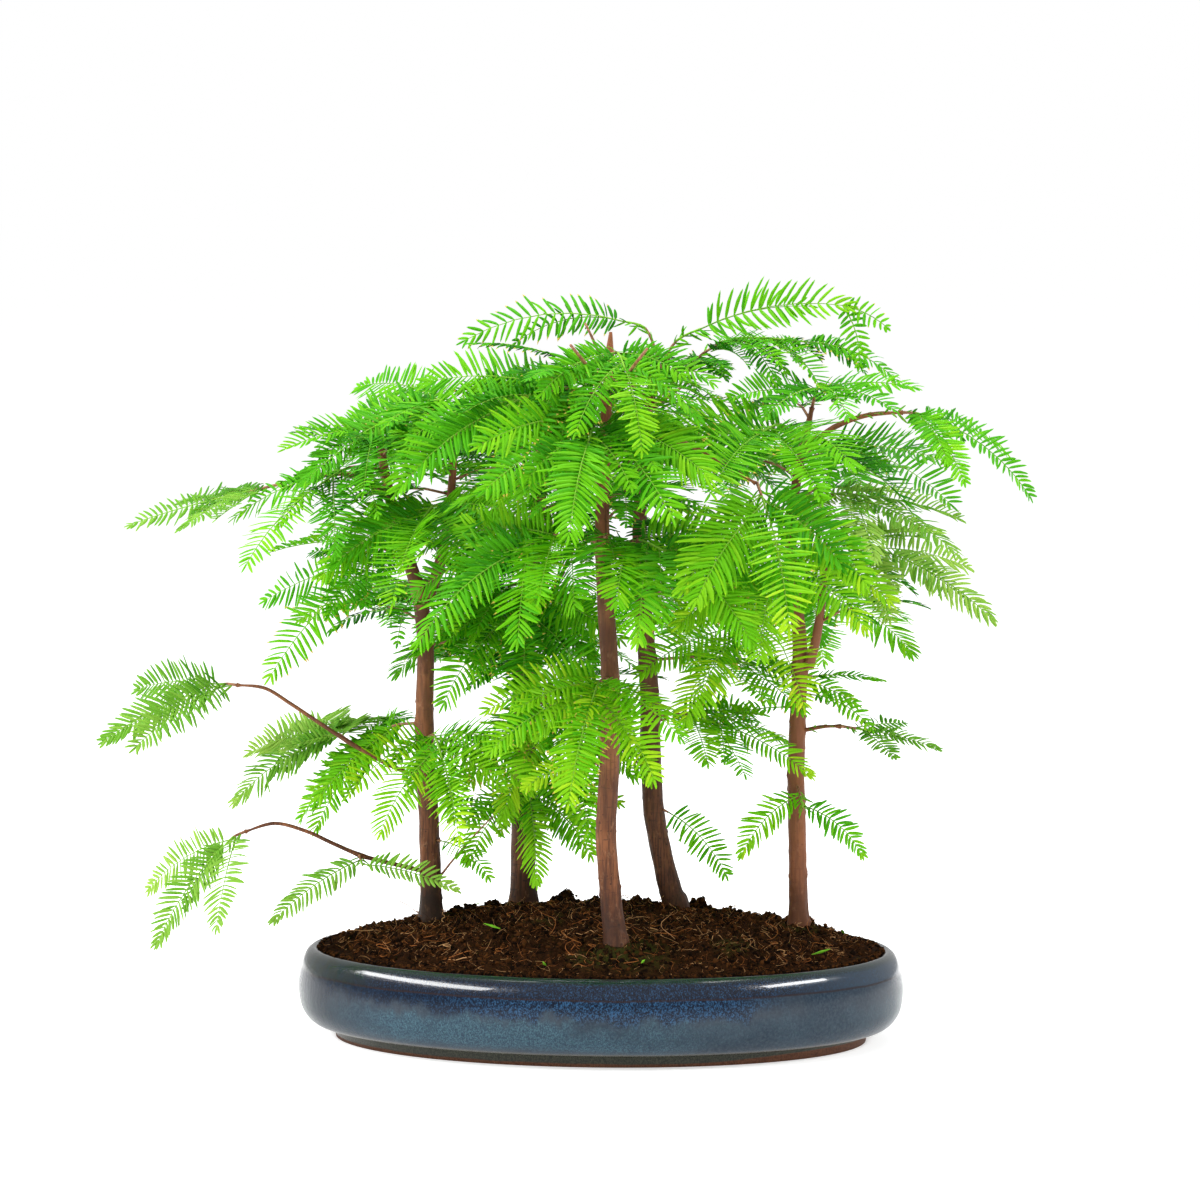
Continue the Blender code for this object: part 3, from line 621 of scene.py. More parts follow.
def blue_glaze():
    """Stoneware glaze: navy shoulder, speckled slate-blue belly, olive foot, bare clay below."""
    paint = Paint("blue_glaze")
    up = paint.axis("Z") * 1000
    along_pot = paint.axis("X") * 1000
    drift = (paint.noise(24, detail=3) - 0.5) * 9
    level = up + drift
    fleck = paint.noise(1300, (1, 1, 0.7), detail=3, roughness=0.8)
    speck = paint.noise(620, (1, 1, 0.8), detail=4, roughness=0.8, shift=0.2)
    run = paint.noise(150, (1, 1, 0.3), detail=5, roughness=0.7)
    cloud = paint.noise(17, (1, 1, 1.7), detail=4, shift=0.4)
    slate = paint.mix(paint.step(cloud, 0.38, 0.62), (0.012, 0.024, 0.04), (0.026, 0.036, 0.05))
    slate = paint.mix(paint.step(speck, 0.42, 0.66) * 0.6, slate, (0.042, 0.06, 0.08))
    sea = paint.mix(paint.step(fleck, 0.4, 0.64), (0.006, 0.026, 0.055), (0.06, 0.15, 0.19))
    middle = paint.step(along_pot, 95, 20) * paint.step(along_pot, -165, -100)
    band = paint.step(level, 9, 15) * paint.step(level + (run - 0.5) * 24, 35, 25)
    belly = paint.mix(band * paint.step(cloud, 0.3, 0.56) * (0.2 + middle * 0.45), slate, sea)
    dots = speck * 0.4 + fleck * 0.6
    starry = paint.step(dots, 0.47, 0.58) * (0.25 + paint.step(along_pot, -110, -20) * 0.75)
    ink = paint.mix(starry, (0.0015, 0.004, 0.013), (0.022, 0.08, 0.175))
    shore = paint.noise(22, (1, 1, 0.4), detail=4, roughness=0.65, shift=0.9)
    blotch = paint.step(level + (shore - 0.5) * 44, 29, 35) * paint.step(along_pot, 125, 80)
    belly = paint.mix(blotch * 0.92, belly, ink)
    # Painted shade: the belly's far left end is darkened against the grazing reflection there.
    belly = paint.mix(paint.step(along_pot, -120, -172) * 0.7, belly, (0.005, 0.01, 0.018))
    ends = paint.mix(paint.step(along_pot, -178, -110), (0.006, 0.016, 0.014), (0.0025, 0.0045, 0.013))
    ends = paint.mix(paint.step(along_pot, 95, 170), ends, (0.02, 0.034, 0.052))
    lively = 0.35 + paint.step(along_pot, -70, 0) * paint.step(along_pot, 150, 90) * 0.55
    shoulder = paint.mix(paint.step(dots, 0.47, 0.64) * lively, ends, (0.02, 0.062, 0.135))
    teal = paint.mix(paint.step(fleck, 0.42, 0.68), (0.006, 0.014, 0.013), (0.026, 0.042, 0.038))
    shoulder = paint.mix(paint.step(up + drift * 0.25, 49.4, 52.2) * 0.85, shoulder, teal)
    colour = paint.mix(paint.step(up + drift * 0.22, 41.6, 42.4), belly, shoulder)
    line = paint.step(up + drift * 0.22, 41.2, 41.8) * paint.step(up + drift * 0.22, 43, 42.2)
    colour = paint.mix(line * 0.7, colour, (0.02, 0.01, 0.008))
    # Dark moss-green, rougher patches on the left end under the shoulder: partly moss-coloured patches, partly painted
    # shade that darkens the grey reflection there.
    moss_and_shade = paint.step(along_pot, -112, -160) * paint.step(up, 38, 45) * paint.step(run, 0.42, 0.56)
    colour = paint.mix(moss_and_shade * 0.8, colour, (0.006, 0.011, 0.003))
    low = paint.mix(paint.step(fleck, 0.4, 0.62), (0.02, 0.024, 0.018), (0.062, 0.062, 0.044))
    colour = paint.mix(paint.step(up + drift * 0.2, 10.6, 8.6), colour, low)
    clay = paint.mix(paint.step(fleck, 0.35, 0.65), (0.06, 0.022, 0.012), (0.16, 0.068, 0.034))
    right_end = paint.step(along_pot, 70, 125)
    bare = paint.step(up + drift * 0.2 - right_end * 2.6, 2.4, 1.6)
    colour = paint.mix(bare, colour, clay)
    rough = 0.07 + paint.step(speck, 0.4, 0.7) * 0.05 + paint.step(level, 40, 34) * 0.1 + bare * 0.5 + moss_and_shade * 0.1
    pits = paint.step(along_pot, 40, -120) * 0.9 + 0.3
    return paint.finish(
        bump=run * pits + speck * 0.5, depth=0.0002,
        base_color=colour, roughness=rough, specular_ior_level=0.22,
        coat_weight=paint.step(up + drift * 0.22, 40, 45) * 0.7, coat_roughness=0.06,
    )


def peat(name, light, moss=False):
    """Dark damp peat with paler rusty crumbs, LIGHT times as bright, and moss where it is asked for."""
    paint = Paint(name)
    grain = paint.noise(900, detail=5, roughness=0.85)
    clod = paint.noise(230, detail=5, roughness=0.7, shift=0.6)
    patch = paint.noise(45, detail=4)
    dark = tuple(light * part for part in (0.0036, 0.0015, 0.0007))
    brown = tuple(light * part for part in (0.03, 0.0115, 0.0038))
    rust = tuple(light * part for part in (0.19, 0.072, 0.02))
    colour = paint.mix(paint.step(clod * 0.6 + grain * 0.4, 0.4, 0.54), dark, brown)
    colour = paint.mix(paint.step(grain, 0.56, 0.68) * paint.step(patch, 0.34, 0.62), colour, rust)
    if moss:
        for place, radius in MOSS:
            green = paint.near(mm(place), radius * 0.4 * MM, radius * MM) * paint.step(clod, 0.42, 0.56)
            colour = paint.mix(green * 0.55, colour, (0.036, 0.05, 0.009))
    return paint.finish(bump=clod + grain, depth=0.0014, base_color=colour, roughness=0.95, specular_ior_level=0.04)


def bark():
    """Smooth reddish-brown bark in fine fibrous strips, grey where it peels and darker at the foot, with painted shade
    on the trunks behind the front one and painted light low on the right trunk.
    """
    paint = Paint("fibrous_bark")
    up = paint.axis("Z") * 1000
    strips = paint.noise(760, (1, 1, 0.07), detail=5, roughness=0.62)
    scars = paint.noise(330, (0.3, 0.3, 1.8), detail=3, shift=0.5)
    flakes = paint.noise(240, (1, 1, 0.5), detail=5, roughness=0.66, shift=0.3)
    tint = paint.noise(30, (1, 1, 0.5), detail=3, shift=0.7)
    # Painted shade: the trunks behind and right of the front one, the middle trunk most, are darkened as if shaded by
    # the crown and the trunks before them.
    back = paint.step(paint.axis("Y"), 0.0, 0.03) * paint.step(paint.axis("X"), 0, 0.02) * 0.55
    red = paint.mix(paint.step(tint, 0.36, 0.66), (0.075, 0.023, 0.009), (0.225, 0.08, 0.031))
    colour = paint.mix(paint.step(strips, 0.58, 0.38) * 0.8, red, (0.042, 0.016, 0.009))
    colour = paint.mix(paint.step(scars, 0.6, 0.7) * 0.6, colour, (0.03, 0.013, 0.009))
    colour = paint.mix(paint.step(flakes, 0.56, 0.72) * 0.5, colour, (0.34, 0.18, 0.1))
    spots = paint.cells(240, (1, 1, 1.3))
    colour = paint.mix(paint.step(spots, 0.19, 0.12) * 0.8, colour, (0.03, 0.014, 0.009))
    warm = paint.step(up + (tint - 0.5) * 120, 110, 190)
    colour = paint.mix(warm * 0.25, colour, (0.36, 0.15, 0.065))
    high = paint.step(up, 300, 380)
    colour = paint.mix(high * 0.6, colour, (0.34, 0.115, 0.045))
    wound = paint.near((-0.1075, -0.0065, 0.262), 0.003, 0.006)
    colour = paint.mix(wound * 0.9, colour, (0.46, 0.19, 0.07))
    # Lay the painted shade over the trunks behind.
    colour = paint.mix(back, colour, (0.032, 0.012, 0.006))
    patchy = paint.noise(38, (1, 1, 0.45), detail=4, shift=1.3)
    colour = paint.mix(paint.step(patchy, 0.5, 0.64) * 0.45, colour, (0.045, 0.015, 0.009))
    # Painted light: the right trunk is lightened below its crown.
    sunny = paint.step(paint.axis("X"), 0.09, 0.11) * paint.step(up, 330, 240)
    colour = paint.mix(sunny * 0.4, colour, (0.34, 0.12, 0.05))
    # Darker toward the foot, more so on the left trunk.
    damp = paint.step(up + (flakes - 0.5) * 46, 104, 78) * (0.45 + paint.step(paint.axis("X"), -0.075, -0.09) * 0.45)
    colour = paint.mix(damp, colour, (0.02, 0.0095, 0.005))
    return paint.finish(
        bump=strips * 0.6 + flakes * 0.6 - scars * 0.5, depth=0.0004, base_color=colour, roughness=0.42 + flakes * 0.2, specular_ior_level=0.2,
    )


def plain(name, colour, roughness=0.6, glow=0.0):
    """A finish of one base colour that lets some light through where GLOW is above 0."""
    paint = Paint(name)
    material = paint.finish(base_color=colour, roughness=roughness, specular_ior_level=0.12 if glow else 0.05)
    if glow:
        through = paint.node("ShaderNodeBsdfTranslucent", None, {
            "Color": (min(1, 1.9 * colour[0]), min(1, 1.35 * colour[1]), colour[2]),
        })
        mixed = paint.nodes.new("ShaderNodeMixShader")
        mixed.inputs[0].default_value = glow
        paint.links.new(paint.shader.outputs[0], mixed.inputs[1])
        paint.links.new(through.socket, mixed.inputs[2])
        paint.links.new(mixed.outputs[0], paint.nodes["Material Output"].inputs["Surface"])
    return material


def twig_bark():
    """Thin reddish twigs, in two browns mixed by a fine noise."""
    paint = Paint("young_twigs")
    grain = paint.noise(500, detail=3)
    colour = paint.mix(paint.step(grain, 0.35, 0.65), (0.17, 0.06, 0.03), (0.36, 0.17, 0.08))
    return paint.finish(base_color=colour, roughness=0.6)


def white_ground():
    paint = Paint("white_ground")
    return paint.finish(
        base_color=(0.8, 0.8, 0.8), roughness=0.9, specular_ior_level=0.0,
        emission_color=(1, 1, 1), emission_strength=0.56,
    )


def deselect():
    if bpy.context.object and bpy.context.object.mode != "OBJECT":
        bpy.ops.object.mode_set(mode="OBJECT")
    bpy.ops.object.select_all(action="DESELECT")


def dress(piece, material, nodes=()):
    """Give a finished piece its material, body, slot and the nodes it stands for."""
    piece.data.materials.clear()
    for finish in material if isinstance(material, list) else [material]:
        piece.data.materials.append(finish)
    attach(piece, BODY)
    if nodes:
        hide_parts(*nodes)
    return piece


def from_arrays(name, points, faces, smooth=False):
    """One joined mesh of many small things."""
    mesh = bpy.data.meshes.new(name)
    mesh.from_pydata(np.asarray(points).tolist(), [], [tuple(face) for face in faces])
    if smooth:
        mesh.shade_smooth()
    piece = bpy.data.objects.new(name, mesh)
    bpy.context.scene.collection.objects.link(piece)
    return piece


def ringed(name, rings, sides):
    """A closed oval body drawn up from its bottom ring: each ring has half sizes and a height."""
    deselect()
    length, width, height = rings[0]
    bpy.ops.mesh.primitive_circle_add(vertices=sides, radius=MM, location=(0, 0, height * MM))
    piece = bpy.context.object
    piece.name = name
    piece.data.name = name
    bpy.ops.object.mode_set(mode="EDIT")
    bpy.ops.mesh.select_all(action="SELECT")
    bpy.ops.transform.resize(value=(length, width, 1), center_override=(0, 0, 0))
    for before, (next_length, next_width, next_height) in zip(rings, rings[1:]):
        bpy.ops.mesh.extrude_edges_move(
            TRANSFORM_OT_translate={"value": (0, 0, (next_height - before[2]) * MM)},
        )
        bpy.ops.transform.resize(
            value=(next_length / before[0], next_width / before[1], 1), center_override=(0, 0, 0),
        )
    bpy.ops.mesh.edge_face_add()
    bpy.ops.mesh.poke()
    bpy.ops.object.mode_set(mode="OBJECT")
    first = [index for index in range(sides)]
    for vertex in piece.data.vertices:
        vertex.select = vertex.index in first
    bpy.ops.object.mode_set(mode="EDIT")
    bpy.ops.mesh.select_mode(type="VERT")
    bpy.ops.object.mode_set(mode="OBJECT")
    for vertex in piece.data.vertices:
        vertex.select = vertex.index < sides
    for edge in piece.data.edges:
        edge.select = edge.vertices[0] < sides and edge.vertices[1] < sides
    for face in piece.data.polygons:
        face.select = False
    bpy.ops.object.mode_set(mode="EDIT")
    bpy.ops.mesh.edge_face_add()
    bpy.ops.mesh.select_all(action="SELECT")
    bpy.ops.mesh.normals_make_consistent(inside=False)
    bpy.ops.object.mode_set(mode="OBJECT")
    bpy.ops.object.transform_apply(location=True, rotation=True, scale=True)
    piece.data.shade_smooth()
    return piece


def refined(section, every=3):
    """A smooth run of (inset, height) pairs through some given ones."""
    line = curved([Vector((inset, height, 0)) for inset, height in section])
    kept = line[::every]
    if (kept[-1] - line[-1]).length > 0:
        kept.append(line[-1])
    return [(point.x, point.y) for point in kept]


def oval(section):
    """Half sizes and height of each ring, from its inset and height."""
    return [(POT_HALF_LENGTH - inset, POT_HALF_WIDTH - inset, height) for inset, height in section]


def make_pot(glaze):
    """The glazed pot, with the slight waves of a hand-glazed wall."""
    outside = list(reversed(POT_OUTSIDE))
    section = outside[:2] + refined(outside[2:]) + refined(list(reversed(POT_INSIDE)), 4)
    pot = ringed("oval_pot", oval(section), POT_SIDES)
    for vertex in pot.data.vertices:
        height = vertex.co.z / MM
        if height > 9:
            reach = Vector((vertex.co.x, vertex.co.y, 0)).normalized()
            wave = noise.noise(vertex.co * 26) * 0.28 + noise.noise(vertex.co * 90) * 0.08
            vertex.co += reach * wave * MM
    return dress(pot, glaze, ["pot"])


def peat_height(x, y):
    """Height of the soil with its mounds, in millimetres."""
    height = soil_height(x, y)
    for trunk in TRUNKS:
        foot = trunk.base + ROOT_FLARE + 1.6
        away = math.hypot(x - trunk.foot[0], y - trunk.foot[1]) - foot
        if away < MOUND_SPREAD:
            top = FEET[trunk.name] - CLEAR
            height = max(height, top - MOUND_DEPTH * max(0, away) / MOUND_SPREAD)
    return height


def crumbly(x, y):
    """How far the soil's crumbs rise or sink at a place, in millimetres."""
    spot = Vector((x, y, 3.7))
    rise = 2.6 * noise.noise(spot / 16) + 2.4 * noise.noise(spot / 6) + 1.5 * noise.noise(spot / 2.4)
    across = math.hypot(x / (POT_HALF_LENGTH - 13), y / (POT_HALF_WIDTH - 13))
    return rise * min(1, max(0.25, (1 - across) / 0.06)) + 1.1 * max(0, 1 - (1 - across) / 0.03)


def surface(x, y):
    """A point on the crumbly soil, in metres."""
    return Vector((x, y, peat_height(x, y) + crumbly(x, y))) * MM


def make_soil(finish):
    """The soil: a dome with low mounds at the feet, broken up into crumbs."""
    inside = [(inset + 0.15, height + 0.2) for inset, height in POT_INSIDE]
    rings = oval(inside)[:-1]
    length, width, _ = oval(inside)[-1]
    for step in range(SOIL_STEPS):
        share = 1 - step / SOIL_STEPS
        rings.append((length * share, width * share, SOIL_EDGE + SOIL_RISE * (1 - share ** 2) ** SOIL_POWER))
    soil = ringed("peat_soil", rings, SOIL_SIDES)
    for vertex in soil.data.vertices:
        if vertex.co.z > (SOIL_EDGE - 0.1) * MM:
            x, y = vertex.co.x / MM, vertex.co.y / MM
            vertex.co.z = surface(x, y).z
    return dress(soil, finish, ["soil"])


ICO_RATIO = (1 + math.sqrt(5)) / 2
ICO_POINTS = np.array([
    (-1, ICO_RATIO, 0), (1, ICO_RATIO, 0), (-1, -ICO_RATIO, 0), (1, -ICO_RATIO, 0),
    (0, -1, ICO_RATIO), (0, 1, ICO_RATIO), (0, -1, -ICO_RATIO), (0, 1, -ICO_RATIO),
    (ICO_RATIO, 0, -1), (ICO_RATIO, 0, 1), (-ICO_RATIO, 0, -1), (-ICO_RATIO, 0, 1),
]) / math.hypot(1, ICO_RATIO)
ICO_FACES = (
    (0, 11, 5), (0, 5, 1), (0, 1, 7), (0, 7, 10), (0, 10, 11), (1, 5, 9), (5, 11, 4), (11, 10, 2), (10, 7, 6),
    (7, 1, 8), (3, 9, 4), (3, 4, 2), (3, 2, 6), (3, 6, 8), (3, 8, 9), (4, 9, 5), (2, 4, 11), (6, 2, 10), (8, 6, 7),
    (9, 8, 1),
)


def on_soil(chance, edge=0.97):
    """A random place inside the pot's rim."""
    turn = chance.uniform(0, math.tau)
    share = math.sqrt(chance.random()) * edge
    return (POT_HALF_LENGTH - 14) * share * math.cos(turn), (POT_HALF_WIDTH - 14) * share * math.sin(turn)


def in_trunk(x, y, spare=0.5):
    return any(
        math.hypot(x - trunk.foot[0], y - trunk.foot[1]) < trunk.base + ROOT_FLARE * 0.6 + spare for trunk in TRUNKS
    )


def make_crumbs(finishes):
    """Loose crumbs of peat, half sunk, some along the rim, with a few lumps as large as a fingertip."""
    chance = random.Random(11)
    spots = []
    for index in range(CRUMBS):
        x, y = on_soil(chance)
        spots.append((x, y, 0.3 + 1.5 * chance.random() ** 3, 0))
    for index in range(RIM_CRUMBS):
        turn = chance.uniform(0, math.tau)
        inset = 12.6 - 1.6 * chance.random() ** 2 + 2.5 * chance.random()
        x, y = (POT_HALF_LENGTH - inset) * math.cos(turn), (POT_HALF_WIDTH - inset) * math.sin(turn)
        spots.append((x, y, chance.uniform(0.4, 1.1), 0))
    for x, y, size in LUMPS:
        spots.append((x, y, size * 0.8, 0))
        for index in range(60):
            turn = chance.uniform(0, math.tau)
            share = math.sqrt(chance.random())
            reach = 1.7 * size * share
            lift = 0.95 * size * (1 - share) * chance.uniform(0.7, 1.2)
            spots.append((x + reach * math.cos(turn), y + reach * math.sin(turn), chance.uniform(0.6, 1.9), lift))
    heaps = [([], []) for _ in finishes]
    for x, y, size, lift in spots:
        if in_trunk(x, y, size):
            continue
        turn = Matrix.Rotation(chance.uniform(0, math.tau), 3, Vector([chance.gauss(0, 1) for _ in range(3)]))
        shape = np.array([chance.uniform(0.6, 1.4) for _ in range(3)]) * size * MM
        bumps = np.array([[chance.uniform(0.72, 1.2)] for _ in ICO_POINTS])
        corners = (ICO_POINTS * bumps * shape) @ np.array(turn) + np.array(surface(x, y)) + (0, 0, (0.2 * size + lift) * MM)
        points, faces = heaps[chance.randrange(len(heaps))]
        start = len(points)
        points.extend(corners)
        faces.extend(tuple(start + corner for corner in face) for face in ICO_FACES)
    for (points, faces), (name, finish) in zip(heaps, finishes):
        dress(from_arrays(name, points, faces), finish)


def tube(line, radii, sides=3, turn=0.0):
    """Points and faces of a closed thin tube along a line."""
    points = []
    faces = []
    across = (line[1] - line[0]).orthogonal().normalized()
    for index, place in enumerate(line):
        ahead = (line[min(index + 1, len(line) - 1)] - line[max(index - 1, 0)]).normalized()
        across = square_to(across, ahead)
        other = ahead.cross(across)
        for side in range(sides):
            angle = turn + math.tau * side / sides
            points.append(place + (across * math.cos(angle) + other * math.sin(angle)) * radii[index])
    for index in range(len(line) - 1):
        for side in range(sides):
            after = (side + 1) % sides
            low, high = index * sides, (index + 1) * sides
            faces.append((low + side, low + after, high + after, high + side))
    faces.append(tuple(range(sides - 1, -1, -1)))
    faces.append(tuple(range(len(points) - sides, len(points))))
    return points, faces


class Bundle:
    """Thin tubes joined into one mesh."""

    def __init__(self):
        self.points = []
        self.faces = []

    def add(self, line, radii, sides=3):
        points, faces = tube(line, radii, sides)
        start = len(self.points)
        self.points.extend(points)
        self.faces.extend(tuple(start + corner for corner in face) for face in faces)


def curl(start, heading, length, chance, bend=0.7, steps=6):
    """A thread that wanders from its start; it stays near the ground where it can."""
    line = [start]
    turn = chance.uniform(-bend, bend)
    for step in range(steps):
        turn += chance.uniform(-bend, bend) * 0.5
        heading = Matrix.Rotation(turn, 3, "Z") @ heading
        heading.z += chance.uniform(-0.32, 0.24)
        heading.normalize()
        line.append(line[-1] + heading * length / steps)
    return line


def make_fibres(finishes):
    """Fine peat fibres and curled roots that lie on the soil and stand out of it."""
    chance = random.Random(23)
    bundles = [Bundle() for _ in finishes]
    for index in range(FIBRES + ROOTS):
        root = index >= FIBRES
        x, y = on_soil(chance, 0.93 if root else 0.98)
        if in_trunk(x, y, 1):
            continue
        turn = chance.uniform(0, math.tau)
        heading = Vector((math.cos(turn), math.sin(turn), chance.uniform(-0.1, 0.6 if root else 1.1)))
        length = (chance.uniform(12, 34) if root else 2 + 9 * chance.random() ** 2) * MM
        steps = 11 if root else 5
        start = surface(x, y) - Vector((0, 0, 0.4 * MM))
        line = curl(start, heading.normalized(), length, chance, 0.8 if root else 0.7, steps)
        line = [kept_on_soil(point) for point in line]
        thick = (chance.uniform(0.16, 0.34) if root else chance.uniform(0.07, 0.15)) * MM
        radii = [thick * (1 - 0.65 * step / len(line)) for step in range(len(line))]
        bundles[chance.choice((0, 2)) if root else index % len(finishes)].add(line, radii)
    for bundle, (name, finish) in zip(bundles, finishes):
        dress(from_arrays(name, bundle.points, bundle.faces), finish)


def kept_on_soil(point):
    """A point moved up to the soil where it is under it, and in from the rim."""
    x, y = point.x / MM, point.y / MM
    across = math.hypot(x / (POT_HALF_LENGTH - 13.5), y / (POT_HALF_WIDTH - 13.5))
    if across > 1:
        x, y = x / across, y / across
    low = surface(x, y).z
    return Vector((x * MM, y * MM, max(point.z, low)))


def bark_skin(name, way, finish, sides, joints, foot=False):
    """A trunk or bough with the relief of its bark: fibrous ridges, knots, collars and a root flare."""
    line = curved(way.rings)
    radii = []
    for index in range(len(line)):
        ring = min(index // 12, len(way.radii) - 2)
        share = (index - ring * 12) / 12
        radii.append(way.radii[ring] + (way.radii[ring + 1] - way.radii[ring]) * share)
    lengths = measured(line)
    start = -SINK * MM if foot else -CLEAR * MM - way.radii[0] * 0.5
    count = round((lengths[-1] - start) / (RING_GAP * MM))
    places, girths = [], []
    for step in range(count + 1):
        distance = start + (lengths[-1] - start) * step / count
        index, share = found(lengths, max(distance, 0))
        place = line[index].lerp(line[index + 1], share)
        if distance < 0:
            place = line[0] + (line[1] - line[0]).normalized() * distance
        places.append(place)
        slim = 1 - 0.55 * max(0, 1 - (lengths[-1] - distance) / (14 * MM)) ** 1.5
        girths.append(slim * (radii[index] + (radii[index + 1] - radii[index]) * share))
    curve = bpy.data.curves.new(name, "CURVE")
    curve.dimensions = "3D"
    curve.bevel_depth = MM
    curve.bevel_resolution = (sides - 4) // 2
    curve.use_fill_caps = True
    spline = curve.splines.new("POLY")
    spline.points.add(len(places) - 1)
    for point, place, girth in zip(spline.points, places, girths):
        point.co = (*place, 1)
        point.radius = girth / MM
    piece = bpy.data.objects.new(name, curve)
    bpy.context.scene.collection.objects.link(piece)
    deselect()
    bpy.context.view_layer.objects.active = piece
    piece.select_set(True)
    bpy.ops.object.convert(target="MESH")
    piece = bpy.context.object
    seed = sum(map(ord, name)) % 97
    corners = piece.data.vertices
    around = len(corners) // len(places)
    for index, vertex in enumerate(corners):
        ring = min(index // around, len(places) - 1)
        radial = (vertex.co - places[ring]).normalized()
        girth = girths[ring] / MM
        distance = start / MM + ring * RING_GAP
        spot = radial * min(girth * 0.9, 5.5) + Vector((seed, seed * 0.7, distance / 15))
        ridge = 0.4 - 1.3 * abs(noise.noise(spot))
        fine = noise.noise(radial * girth * 2.1 + Vector((0, seed, distance / 4)))
        lump = noise.noise(radial * 0.9 + Vector((seed, 0, distance / 13)))
        bud = max(0, noise.noise(radial * 1.9 + Vector((seed * 0.3, 5, distance / 4.5))) - 0.42)
        rise = (0.2 * ridge + 0.12 * fine) * min(1, girth / 4) + 0.075 * girth * lump + 2.6 * bud * min(1, girth / 4)
        if foot:
            angle = math.atan2(radial.y, radial.x)
            lobes = 0.5 + 0.5 * math.cos(5 * angle + seed) * math.cos(2 * angle + seed * 0.3)
            rise += 1.5 * lobes * math.exp(-max(0, distance) / 8)
        for joint, size in joints:
            away = (vertex.co - joint).length / MM
            if away < 12:
                rise += 0.75 * size * math.exp(-(away / (1.6 * size + 1.6)) ** 2)
        vertex.co += radial * rise * MM
    piece.data.shade_smooth()
    return dress(piece, finish, [name.removesuffix("_bark")])


class Limbs:
    """The trunks and boughs as straight tapered lengths, to keep leaves clear of them."""

    def __init__(self, ways):
        starts, ends, first, last = [], [], [], []
        for way in ways:
            for index in range(len(way.rings) - 1):
                starts.append(way.rings[index])
                ends.append(way.rings[index + 1])
                first.append(way.radii[index])
                last.append(way.radii[index + 1])
        self.starts, self.ends = np.array(starts), np.array(ends)
        self.first, self.last = np.array(first), np.array(last)

    def clear(self, points, spare):
        """Which of some points lie further than SPARE, in metres, from every limb."""
        free = np.ones(len(points), bool)
        for start, end, first, last in zip(self.starts, self.ends, self.first, self.last):
            run = end - start
            share = np.clip(((points - start) @ run) / (run @ run), 0, 1)
            away = np.linalg.norm(points - start - share[:, None] * run, axis=1)
            free &= away > first + (last - first) * share + spare
        return free


# A needle's stations: how far along it they lie, and the half width and the rise of its back there.
NEEDLE_STATIONS = ((0, 0.16, 0.12), (0.2, 0.46, 0.22), (0.55, 0.48, 0.2), (0.88, 0.3, 0.12))
NEEDLE_POINTS = np.array([
    point for along_it, half, back in NEEDLE_STATIONS
    for point in ((along_it, -half, 0), (along_it, half, 0), (along_it, 0, back))
] + [(1, 0, 0)])
NEEDLE_TIP = len(NEEDLE_POINTS) - 1
NEEDLE_FACES = [(0, 2, 1)] + [
    (3 * row + side, 3 * row + (side + 1) % 3, 3 * row + 3 + (side + 1) % 3, 3 * row + 3 + side)
    for row in range(len(NEEDLE_STATIONS) - 1) for side in range(3)
] + [(NEEDLE_TIP - 3 + side, NEEDLE_TIP - 3 + (side + 1) % 3, NEEDLE_TIP) for side in range(3)]


